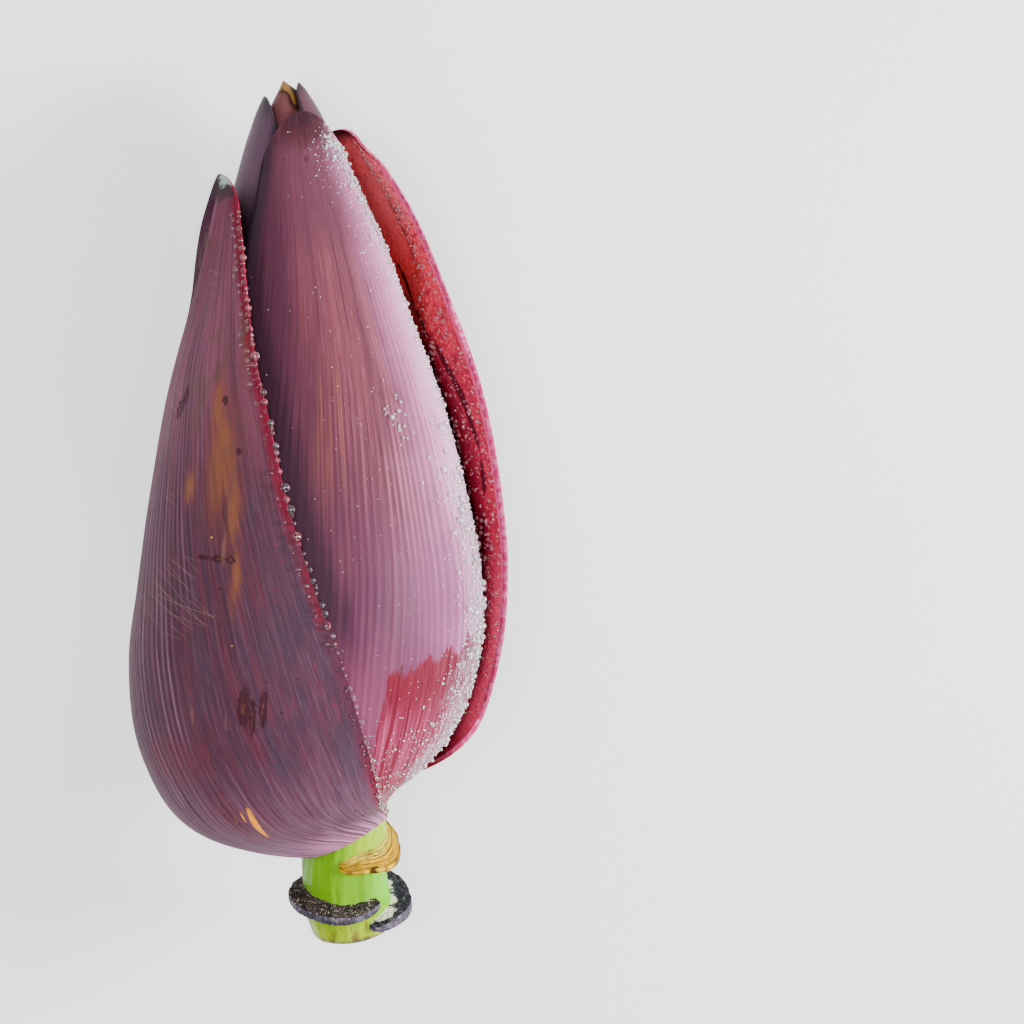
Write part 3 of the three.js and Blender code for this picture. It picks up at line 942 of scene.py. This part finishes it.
# %% Left bract finish
skin = Finish("left_skin", (82, 47, 62), 0.45)
bands = skin.streaks(64, 3, 1, 5.0, 0.62)
fine = skin.streaks(170, 8, 2)
cloud = skin.blotches(17, 3, 0.6, 2.4)
maroon = skin.ragged("maroon", skin.streaks(110, 9, 8), 1.6)
ochre = skin.ragged("ochre", skin.streaks(110, 8, 3), 1.6)
edge = skin.ragged("edge", skin.blotches(4))
flank = skin.ragged("flank", skin.blotches(3), 1.5)
scar = skin.ragged("scar", skin.blotches(1.3, 4, 0.65, 1.6), 1.5)
slit = skin.ragged("slit", skin.streaks(260, 20, 6), 0.9)
wound = skin.ragged("wound", skin.streaks(300, 20, 5), 0.8)
knob = skin.ragged("knob", skin.blotches(2))
skin.paint(
    # Bands, clouds and fine streaks, then painted shade in the grooves of the ribs and a painted
    # highlight on their crests.
    ((102, 42, 59), (bands, 0.51, 0.64, 0.65)),
    ((61, 47, 65), (bands, 0.47, 0.36, 0.65)),
    ((73, 56, 73), (cloud, 0.54, 0.68, 0.6)),
    ((94, 44, 60), (cloud, 0.45, 0.34, 0.5)),
    ((108, 68, 86), (fine, 0.52, 0.62, 0.42)),
    ((62, 31, 47), (fine, 0.46, 0.34, 0.45)),
    ((61, 29, 49), ("firm", 0.3, 0.8), ("rib", 0.2, 0.02, 0.5)),
    ((124, 86, 111), ("firm", 0.3, 0.8), ("rib", 0.25, 0.75), (fine, 0.3, 0.55, 0.85)),
    # Pink shoulder, maroon and ochre patches, grey and lilac foot, crimson edge, dusky front.
    ((123, 69, 87), ("s", 0.42, 0.62), ("theta", -92, -74), (bands, 0.3, 0.6, 0.9)),
    ((104, 42, 58), (maroon, 0.5, 1.0), (bands, 0.3, 0.6, 0.5)),
    ((112, 60, 54), (ochre, 0.7, 1.3, 0.55)),
    ((140, 86, 52), (ochre, 1.1, 1.6, 0.62)),
    ((118, 82, 104), ("s", 0.2, 0.1, 0.45), (fine, 0.3, 0.6)),
    ((214, 140, 184), ("s", 0.075, 0.0, 0.9), (skin.streaks(120, 2, 4), 0.38, 0.58)),
    ((116, 12, 42), (edge, 4.0, 1.2, 0.95)),
    ((58, 43, 59), ("theta", -24, 4), ("s", 0.52, 0.36), ("s", 0.1, 0.22),
     (cloud, 0.4, 0.58, 0.75)),
    # A painted highlight along the keel and painted shade on the flank beyond it, then bruises,
    # scabs, slits and the nick.
    ((124, 84, 105), (flank, -2.6, 0.2), ("s", 0.7, 0.76, 0.7)),
    ((63, 17, 44), (flank, 0.4, 2.0), (flank, 40, 20)),
    ((92, 66, 62), (skin.blotches(7, 4, 0.6, 1.8), 0.54, 0.66, 0.6), ("s", 0.46, 0.54)),
    ((59, 23, 33), (scar, 0.65, 1.0, 0.85)),
    ((108, 66, 50), (scar, 1.3, 1.55, 0.6)),
    ((131, 88, 75), (slit, 0.6, 1.0, 0.55)),
    ((114, 65, 60), (wound, 0.35, 0.5)),
    ((243, 152, 40), (wound, 0.5, 0.62)),
    # Scratches, then specks, grain and the dry knob at the tip.
    *(((157, 113, 95), skin.hairlines(turn), ("scratch", -0.2, 0.3, most))
      for turn, most in ((62, 0.5), (80, 0.4), (47, 0.4))),
    ((59, 23, 33), (skin.cells(7), 0.075, 0.05), (skin.blotches(30), 0.45, 0.55)),
    ((129, 27, 48), (skin.cells(3.2), 0.12, 0.08), (skin.blotches(12), 0.5, 0.56, 0.8)),
    ((118, 82, 102), (skin.streaks(280, 20, 9), 0.54, 0.68, 0.24)),
    ((50, 24, 42), (skin.streaks(240, 16, 10), 0.46, 0.34, 0.35)),
    ((234, 166, 87), (skin.cells(9), 0.04, 0.028), (skin.blotches(40), 0.5, 0.55)),
    ((61, 49, 56), (knob, -0.2, 0.45, 0.85)),
    ((186, 208, 193), (knob, 0.75, 1.15, 0.85)),
)
skin.relief((fine, 0.15), (skin.blotches(0.8), 0.05), (skin.ease(scar, 0.6, 1.1), -0.3))
left_skin = skin.done(Roughness=skin.ease(cloud, -3.0, 3.8))

lining = Finish("bract_lining", (146, 26, 48), 0.45)
lining.paint(((180, 50, 65), (lining.streaks(160, 4, 6), 0.4, 0.7)))
lining.relief((lining.streaks(260, 6, 7), 0.15))
bract_lining = lining.done()
margin = mottled("bract_margin", (134, 8, 40), 0.4, (174, 34, 76), 2.5, 0.42, 0.68, 0.15)
dress(bract_left, left_skin, bract_lining, margin.done())

# %% [markdown]
# ## The front bract's skin
#
# Younger and glossier: mauve, almost black in painted shade where it dives under the left bract,
# and pale toward the light with bloom and a painted highlight, with orange-brown ghosts between
# its ribs. At its foot the bloom has been rubbed off down to crimson flesh, and fine drops frost
# its right limb.

# %% Front bract finish
skin = Finish("front_skin", (112, 60, 71), 0.45)
firm, shaded = skin.ease("firm", 0.15, 0.9), skin.ease("s", 0.18, 0.36)
bands = skin.streaks(26, 2.5, 12, 3.0)
fine = skin.streaks(120, 5, 11)
ghost = skin.ragged("ochre", skin.streaks(130, 1.8, 13), 3.2)
upper = skin.ragged("s", skin.blotches(14), 0.12)
bloom_and_highlight = skin.ragged("theta", skin.blotches(12), 16.0)
under = skin.ragged("under", fine, 16.0)
slate = skin.ragged("edge", skin.blotches(5))
tipmark = skin.ragged("tipmark", skin.blotches(5), 0.9)
rubbed = skin.ragged("rubbed", skin.streaks(90, 18, 14), 2.6)
frost = skin.ragged("frost", skin.blotches(5), 1.1)
frost_grain = skin.ease(skin.cells(0.9), 0.5, 0.2)
streaky = skin.ease(skin.streaks(130, 5, 17), 0.42, 0.54)
frost_lines = skin.compute("MAXIMUM", streaky, skin.ease("theta", 76, 86))
scar = skin.ragged("scar", skin.blotches(1.6), 1.2)
skin.paint(
    # Bands, grooves darkened as painted shade, orange-brown ghosts and lit crests (painted
    # highlight).
    ((84, 44, 60), (bands, 0.48, 0.36, 0.8)),
    ((131, 69, 75), (bands, 0.54, 0.66, 0.6)),
    ((76, 37, 51), (fine, 0.46, 0.34, 0.7)),
    ((75, 39, 53), ("rib", 0.45, 0.1, 0.5), firm),
    ((130, 74, 66), (ghost, 1.95, 2.3, 0.6)),
    ((184, 106, 72), (ghost, 2.35, 2.5, 0.75)),
    ((174, 98, 120), ("rib", 0.25, 0.75), (fine, 0.3, 0.6, 0.7), firm),
    # Bloom and a painted highlight toward the lit right limb, with mauve lines and pale crests
    # (painted highlight) in it, and painted shade in the grooves low down.
    ((92, 52, 68), (upper, 0.74, 0.88, 0.7)),
    ((232, 140, 196), (bloom_and_highlight, 38, 86), ("rib", -0.6, 0.6, 0.95)),
    ((243, 200, 232), (bloom_and_highlight, 62, 94, 0.8)),
    ((150, 76, 124), (bloom_and_highlight, 44, 66), (skin.streaks(120, 1.6, 16), 0.48, 0.36, 0.7)),
    ((234, 152, 194), ("rib", 0.5, 0.85, 0.7), ("theta", 18, 50), firm,
     (skin.streaks(60, 1.5, 19), 0.42, 0.58)),
    ((122, 60, 102), ("s", 0.5, 0.34), ("theta", 84, 62, 0.65), ("rib", 1.3, 0.35)),
    # Painted shade beside the left bract, also low down at the foot; dark along its own edge and
    # at the tip.
    ((72, 35, 54), (under, 53, 21, 0.82), shaded),
    ((44, 22, 38), (under, 22, 12, 0.85), shaded),
    ((122, 62, 86), ("s", 0.34, 0.2), ("theta", 38, 30, 0.7)),
    ((51, 39, 50), (slate, 6.5, 2.4, 0.9), ("s", 0.62, 0.8)),
    ((37, 20, 33), (slate, 1.9, 1.0), ("s", 0.4, 0.6)),
    ((68, 33, 43), (tipmark, -0.1, 0.75)),
    ((44, 24, 33), (tipmark, 0.7, 1.2, 0.75)),
    # The rubbed patch.
    ((114, 22, 40), (rubbed, 1.2, 1.6, 0.92)),
    ((82, 0, 28), (rubbed, 1.4, 1.9), (fine, 0.5, 0.62, 0.8)),
    ((160, 60, 96), (rubbed, 1.4, 1.9), ("s", 0.235, 0.19),
     (skin.streaks(90, 5, 15), 0.44, 0.56, 0.85)),
    ((208, 100, 142), (rubbed, 1.4, 1.9), ("s", 0.235, 0.19), ("rib", 0.5, 0.85, 0.45)),
    ((126, 30, 36), (rubbed, 1.2, 1.7, 0.7), ("s", 0.15, 0.08)),
    # Frost, scabs and grain.
    ((243, 214, 240), (frost, 0.55, 1.1), (frost_grain, -0.3, 0.7), frost_lines),
    ((138, 92, 116), (frost, 0.5, 0.9), (skin.cells(1.3), 0.5, 0.62, 0.6)),
    ((80, 37, 53), (scar, 0.6, 1.0, 0.85)),
    ((178, 108, 134), (skin.streaks(230, 24, 18), 0.55, 0.68, 0.25), (under, 12, 55)),
)
skin.relief((fine, 0.12), (skin.where(frost_grain, (frost, 0.35, 0.9)), 0.3))
dark_margin = mottled("dark_margin", (58, 38, 51), 0.45, (90, 48, 64), 3, 0.42, 0.68, 0.1)
dress(bract_front, skin.done(), bract_lining, dark_margin.done())

# %% [markdown]
# ## The right bract: red inside, mauve outside
#
# Because it stands open, its inner face shows: orange-red by the bud, crimson and beaded with wet
# toward its rolled margin, dark in its creases. Its outer face is skin like the other bracts'.

# %% Right bract finishes
flesh = Finish("right_inner_flesh", (243, 70, 74), 0.4)
lines = flesh.streaks(90, 4, 21)
deep = flesh.ragged("s", flesh.blotches(8), 0.1)
pink = flesh.ragged("edge", flesh.blotches(3), 5.0)
beads = flesh.ease(flesh.cells(1.5), 0.42, 0.15)
crease = flesh.ragged("crease", flesh.streaks(200, 16, 22), 0.8)
flesh.paint(
    ((189, 52, 65), (lines, 0.48, 0.7, 0.7)),
    ((243, 79, 76), (lines, 0.42, 0.3, 0.5)),
    ((131, 25, 46), (deep, 0.74, 0.6, 0.95)),
    ((100, 10, 31), (lines, 0.5, 0.66, 0.6), (deep, 0.74, 0.6)),
    ((234, 62, 91), (pink, 10.0, 4.5, 0.85), ("s", 0.66, 0.8)),
    ((175, 39, 66), (pink, 10.0, 4.5, 0.85), ("s", 0.78, 0.66)),
    # Pinker low on the face: its own pink, brightened as painted light where the lamps hardly
    # reach.
    ((243, 84, 122), ("s", 0.42, 0.26, 0.9), ("s", 0.1, 0.2)),
    ((236, 118, 130), ("s", 0.72, 0.82, 0.6)),
    # Wet beads and the dark rings round them, near the margin.
    ((243, 70, 102), beads, ("edge", 15, 4), (flesh.blotches(4), 0.4, 0.6, 0.7)),
    ((113, 14, 42), (flesh.cells(1.5), 0.45, 0.6), ("edge", 15, 4),
     (flesh.blotches(3), 0.4, 0.6, 0.7), ("s", 0.36, 0.5)),
    ((214, 84, 132), ("edge", 1.4, 0.5)),
    # Shade beside the bud, at the foot, in the creases and at the tip.
    ((98, 8, 27), ("edge", 2.5, 6, 0.8), ("s", 0.7, 0.6), ("s", 0.34, 0.42)),
    ((104, 8, 24), ("s", 0.16, 0.1, 0.85)),
    ((58, 0, 17), (crease, 0.3, 0.62, 0.9)),
    ((95, 30, 42), ("s", 0.885, 0.905)),
)
flesh.relief((beads, 0.3), (lines, 0.4))
right_flesh = flesh.done(
    Subsurface_Weight=0.15, Subsurface_Radius=(1.0, 0.3, 0.25), Subsurface_Scale=3 * MM,
)

skin = Finish("right_skin", (108, 58, 79), 0.42)
skin.paint(
    ((92, 66, 91), (skin.blotches(24), 0.42, 0.62)),
    # Painted shade in the rib grooves, a painted highlight on the crests.
    ((82, 38, 62), ("rib", 0.35, 0.05)),
    ((143, 97, 122), ("rib", 0.5, 0.9), (skin.streaks(200, 7, 23), 0.4, 0.6)),
    ((162, 39, 79), ("edge", 5.0, 1.0)),
)
skin.relief((skin.streaks(200, 7, 24), 0.12), (skin.blotches(0.8), 0.06))
rosy = mottled("rosy_margin", (204, 60, 114), 0.4, (240, 128, 176), 2, 0.42, 0.62, 0.15)
# Painted shadow at the foot of the rolled margin.
rosy.paint(((112, 12, 38), ("s", 0.17, 0.1)))
dress(bract_right, skin.done(), right_flesh, rosy.done())

# %% [markdown]
# ## The bracts that show at the tip
#
# The tip is drier, so it is darker and greyer at every margin, with warm colour only on the
# innermost point.

# %% Back, inner and core finishes
skin = Finish("back_skin", (81, 59, 75), 0.45)
skin.paint(
    ((102, 70, 89), (skin.streaks(90, 3, 31), 0.42, 0.68)),
    ((30, 19, 34), ("s", 0.86, 0.78)),
    ((38, 30, 42), (skin.ragged("edge", skin.blotches(3), 3.0), 6.0, 2.2)),
    ((56, 43, 54), ("s", 0.915, 0.945)),
)
skin.relief((skin.streaks(160, 8, 32), 0.12))
back_skin = skin.done()
dress(bract_back, back_skin, bract_lining, back_skin)

skin = Finish("inner_skin", (88, 58, 68), 0.45)
skin.paint(
    ((81, 44, 54), (skin.streaks(80, 3, 33), 0.42, 0.68)),
    ((46, 36, 45), (skin.ragged("edge", skin.blotches(2), 1.6), 3.6, 2.0)),
    ((53, 38, 44), ("s", 0.95, 0.975)),
)
skin.relief((skin.streaks(140, 8, 34), 0.12))
inner_skin = skin.done()
dress(bract_inner, inner_skin, bract_lining, inner_skin)

skin = Finish("core_skin", (108, 63, 67), 0.45)
apex = skin.ragged("apex", skin.blotches(2.5))
skin.paint(
    ((101, 55, 60), (skin.streaks(60, 6, 35), 0.4, 0.66)),
    ((60, 36, 26), (apex, -0.2, 0.4)),
    ((168, 122, 58), (apex, 0.55, 1.0, 0.8)),
)
skin.relief((skin.streaks(90, 10, 36), 0.2))
dress(inner_bud, skin.done())

# %% [markdown]
# ## Stem and stubs
#
# The stem is wet and glossy: yellow-green, brightest right under the bracts and yellower at the
# cut. The dark stubs are dry and granular with a pale mould on one; the brown stub is straw and
# amber fibre.

# %% Stem finish
bark = Finish("stem_green", (102, 160, 0), 0.35)
cut_zone = bark.ragged("s", bark.blotches(6), 0.2)
bark.paint(
    ((124, 182, 0), (bark.streaks(50, 3, 41), 0.4, 0.7, 0.8)),
    ((109, 205, 0), ("theta", 30, 62, 0.85)),
    ((154, 190, 0), (bark.ragged("s", bark.blotches(9), 0.1), 0.62, 0.7), ("theta", -5, 25)),
    ((151, 177, 0), (cut_zone, 0.4, 0.26)),
    ((106, 81, 37), (cut_zone, 0.34, 0.24), (bark.streaks(26, 5, 44), 0.52, 0.62, 0.8)),
    ((79, 61, 39), (bark.ragged("s", bark.blotches(3), 0.1), 0.15, 0.1)),
    ((87, 136, 1), (bark.streaks(90, 12, 45), 0.6, 0.7, 0.6)),
)
bark.relief((bark.streaks(120, 4, 42), 0.15), (bark.blotches(5), 0.4))
dress(stem, bark.done(Coat_Weight=0.06, Coat_Roughness=0.1))

# %% Stub finishes
crust = Finish("dark_crust", (46, 40, 38), 0.7)
grain = crust.cells(0.55)
crust.paint(
    ((78, 70, 62), (crust.blotches(4), 0.45, 0.65, 0.7)),
    ((211, 201, 175), (grain, 0.4, 0.2), (crust.blotches(1.4), 0.46, 0.56)),
)
crust.relief((grain, 0.4), (crust.blotches(0.6), 0.3))
bare = mottled("dark_rim", (66, 61, 72), 0.5, (96, 90, 103), 2.4, 0.45, 0.65, 0.3, 1.5)
bare.paint(((146, 130, 148), (bare.blotches(1.1), 0.56, 0.66, 0.8)))
dark_rim = bare.done()
dress(stub_left, crust.done(), dark_rim, dark_rim)

crust = Finish("mouldy_crust", (39, 38, 45), 0.65)
mould = crust.ragged("mould", crust.blotches(1.2, 5, 0.7), 1.9)
crust.paint(
    ((86, 87, 93), (crust.blotches(1.6), 0.5, 0.7)),
    ((243, 243, 214), (mould, 1.0, 1.25)),
)
crust.relief((crust.cells(0.8), 0.4), (crust.blotches(0.6), 0.3))
dress(stub_right, crust.done(), dark_rim, dark_rim)

straw = Finish("straw_fibre", (243, 190, 0), 0.55)
thread = straw.streaks(5, 24, 43, 5.0)
across = straw.add("ShaderNodeSeparateXYZ", {"Vector": straw.uv()}, "Y")
straw.paint(
    ((243, 222, 70), (across, 0.35, 0.8)),
    ((226, 180, 0), (across, 0.3, 0.1)),
    ((147, 107, 37), (thread, 0.46, 0.58, 0.9)),
    ((62, 38, 10), (thread, 0.54, 0.62, 0.95)),
    ((243, 199, 0), (thread, 0.4, 0.3, 0.8)),
    ((96, 73, 27), (across, 0.9, 1.0, 0.8)),
    # Painted shade in the splits of the torn fibre.
    ((53, 18, 4), (straw.ragged("split", straw.blotches(2), 0.8), 0.5, 0.8, 0.95)),
)
straw.relief((thread, 1.0), (straw.blotches(0.8), 0.3))
straw_fibre = straw.done()
dress(stub_upper, straw_fibre, straw_fibre, straw_fibre)

# %% [markdown]
# ## Dew
#
# The blossom has been rinsed. Drops hang in a chain along the left bract's margin, crowd on the
# front bract's tip and right limb, and bead all over the red face. Each is a small flattened
# sphere of only a few dozen faces, half sunk in the skin, and all the drops of one bract are one
# mesh. Water is clear, with its own index of refraction, so the drops show the skin under them;
# the frost of tiny drops is almost opaque.

# %% Drops
DROP_FLAT, DROP_SINK = 0.85, 0.3
NEVER_ZERO = 1e-9


def drops(name, bract, places, sides, rings, face=1):
    """One mesh of drops: places is a list of (theta, s, u, radius in mm) on the bract."""
    theta, s, u, radius = np.array(places).T
    height = bract.height(theta, s, u) - (0 if face > 0 else bract.blade(s, u))
    normals = outward(bud, theta, s) * face
    middles = over_bud(theta, s, height) + normals * (radius * (DROP_FLAT - DROP_SINK))[:, None]
    bm = bmesh.new()
    number = bm.verts.layers.int.new("number")
    bmesh.ops.create_uvsphere(bm, u_segments=sides, v_segments=rings, radius=1)
    made = 1
    while made < len(places):
        copied = bmesh.ops.duplicate(bm, geom=bm.verts[:] + bm.edges[:] + bm.faces[:])["geom"]
        for corner in copied:
            if isinstance(corner, bmesh.types.BMVert):
                corner[number] += made
        made *= 2
    spare = [corner for corner in bm.verts if corner[number] >= len(places)]
    bmesh.ops.delete(bm, geom=spare, context="VERTS")
    ball = np.array([corner.co for corner in bm.verts])
    which = np.array([corner[number] for corner in bm.verts])
    aside = np.cross(normals, (0.0, 0.0, 1.0)) + NEVER_ZERO
    aside /= np.linalg.norm(aside, axis=1, keepdims=True)
    axes = np.stack([aside, np.cross(normals, aside), normals * DROP_FLAT], axis=1)
    placed = middles[which] + np.einsum("ij,ijk->ik", ball, axes[which]) * radius[which, None]
    move(bm, placed * MM)
    piece = keep(bm, name)
    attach(piece, "root")
    print(name, len(places), "drops")
    return piece


# %% Where the drops are
# A margin's length in mm, and how near the sheet's margins, foot and tip a drop may sit.
MARGIN_MM = 225
MARGIN_CLEAR, FOOT_CLEAR, TIP_CLEAR = 0.985, 0.02, 0.004


def scattered(bract, zones, seed):
    """Places for drops; a zone is (count, theta, s, spread of each, least and most radius)."""
    dice = random.Random(seed)
    found = []
    for count, at_theta, at_s, spread_theta, spread_s, least, most in zones:
        for _ in range(count):
            theta = dice.gauss(at_theta, spread_theta)
            s = dice.gauss(at_s, spread_s)
            radius = least + (most - least) * dice.random() ** 3
            first, last = float(bract.left(s)), float(bract.right(s))
            u = 2 * (theta - first) / (last - first) - 1
            if abs(u) < MARGIN_CLEAR and FOOT_CLEAR < s < bract.end(u) - TIP_CLEAR:
                found.append((theta, s, u, radius))
    return found


def chain(bract, start, end, gap_mm, least, most, seed, inset=0.0):
    """Places for drops along a bract's second margin, inset degrees inside it."""
    dice = random.Random(seed)
    found, s = [], start
    while s < end:
        radius = least + (most - least) * dice.random() ** 1.7
        out = dice.uniform(-0.3, 0.9) - inset * dice.uniform(0.7, 1.3)
        found.append((float(bract.right(s)) + out, s, 1, radius))
        s += (radius * 2.0 + dice.random() ** 2 * gap_mm) / MARGIN_MM
    return found


margin_dew = (
    chain(left, 0.03, 0.3, 0.9, 0.35, 0.95, 61)
    + chain(left, 0.3, 0.64, 1.4, 0.6, 1.5, 65)
    + chain(left, 0.64, 0.8, 0.4, 0.6, 1.1, 66)
    + chain(left, 0.58, 0.79, 2.6, 0.5, 0.95, 67, inset=4.0)
    + chain(left, 0.3, 0.62, 3.0, 0.35, 0.9, 68, inset=2.6)
    + chain(left, 0.08, 0.3, 5.0, 0.25, 0.6, 69, inset=2.0)
)
dew_left = drops("dew_left", left, margin_dew, 12, 8)
dew_front = drops("dew_front", front, scattered(front, [
    (110, 52, 0.885, 10, 0.012, 0.2, 0.8), (90, 68, 0.82, 6, 0.04, 0.25, 0.9),
    (110, 80, 0.66, 4, 0.1, 0.2, 0.75), (30, 58, 0.52, 8, 0.05, 0.15, 0.6),
    (130, 72, 0.44, 6, 0.05, 0.25, 1.1), (150, 80, 0.32, 6, 0.08, 0.25, 1.0),
    (100, 70, 0.2, 10, 0.05, 0.2, 0.8), (22, 40, 0.55, 3, 0.02, 0.3, 0.85),
], 62), 9, 6)
frost_front = drops("frost_front", front, scattered(front, [
    (90, 48, 0.86, 14, 0.02, 0.12, 0.3), (200, 62, 0.78, 9, 0.05, 0.12, 0.35),
    (420, 79, 0.66, 5, 0.11, 0.14, 0.42), (500, 76, 0.42, 8, 0.09, 0.14, 0.42),
    (500, 78, 0.27, 8, 0.08, 0.14, 0.45), (350, 62, 0.15, 14, 0.05, 0.14, 0.4),
    (120, 35, 0.12, 8, 0.05, 0.12, 0.3), (150, 30, 0.5, 25, 0.2, 0.1, 0.22),
], 64), 6, 4)
dew_right = drops("dew_right", right, scattered(right, [
    (170, 90, 0.82, 5, 0.05, 0.25, 0.7), (260, 92, 0.68, 5, 0.07, 0.25, 0.75),
    (260, 92, 0.52, 5, 0.07, 0.25, 0.75), (260, 92, 0.36, 5, 0.07, 0.25, 0.75),
    (120, 93, 0.22, 5, 0.05, 0.2, 0.6), (260, 99, 0.6, 7, 0.16, 0.15, 0.4),
], 63), 8, 5, face=-1)

# %% Water
PURE, WATER_IOR, SPARKLE_IOR = (243, 243, 243), 1.33, 1.9
for piece, slot, name, base, roughness, clear, coat in (
    (dew_left, "bract_left", "clear_water", PURE, 0.03, 1.0, 0.4),
    (dew_front, "bract_front", "bright_water", PURE, 0.03, 0.65, 1.0),
    (frost_front, "bract_front", "misty_water", PURE, 0.06, 0.2, 1.0),
    (dew_right, "bract_right", "rosy_water", (243, 170, 178), 0.05, 0.8, 0.35),
):
    water = Finish(name, base, roughness)
    water.relief((water.blotches(3), 0.02))
    dress(piece, water.done(
        Transmission_Weight=clear, IOR=WATER_IOR, Specular_IOR_Level=0.5,
        Coat_Weight=coat, Coat_IOR=SPARKLE_IOR, Coat_Roughness=0.02,
    ))

# %% [markdown]
# ## Floor finish
#
# A plain pale table, matt, a shade off white. It glows a little, like a light table, which opens
# the shadows under the bud.

# %% Floor finish
TABLE_GLOW = 0.8
table = Finish("pale_table", (243, 243, 243), 0.9)
table.paint(((237, 235, 243), (table.blotches(400), 0.3, 0.7)))
dress(floor, table.done(Emission_Color=(1, 1, 1, 1), Emission_Strength=TABLE_GLOW))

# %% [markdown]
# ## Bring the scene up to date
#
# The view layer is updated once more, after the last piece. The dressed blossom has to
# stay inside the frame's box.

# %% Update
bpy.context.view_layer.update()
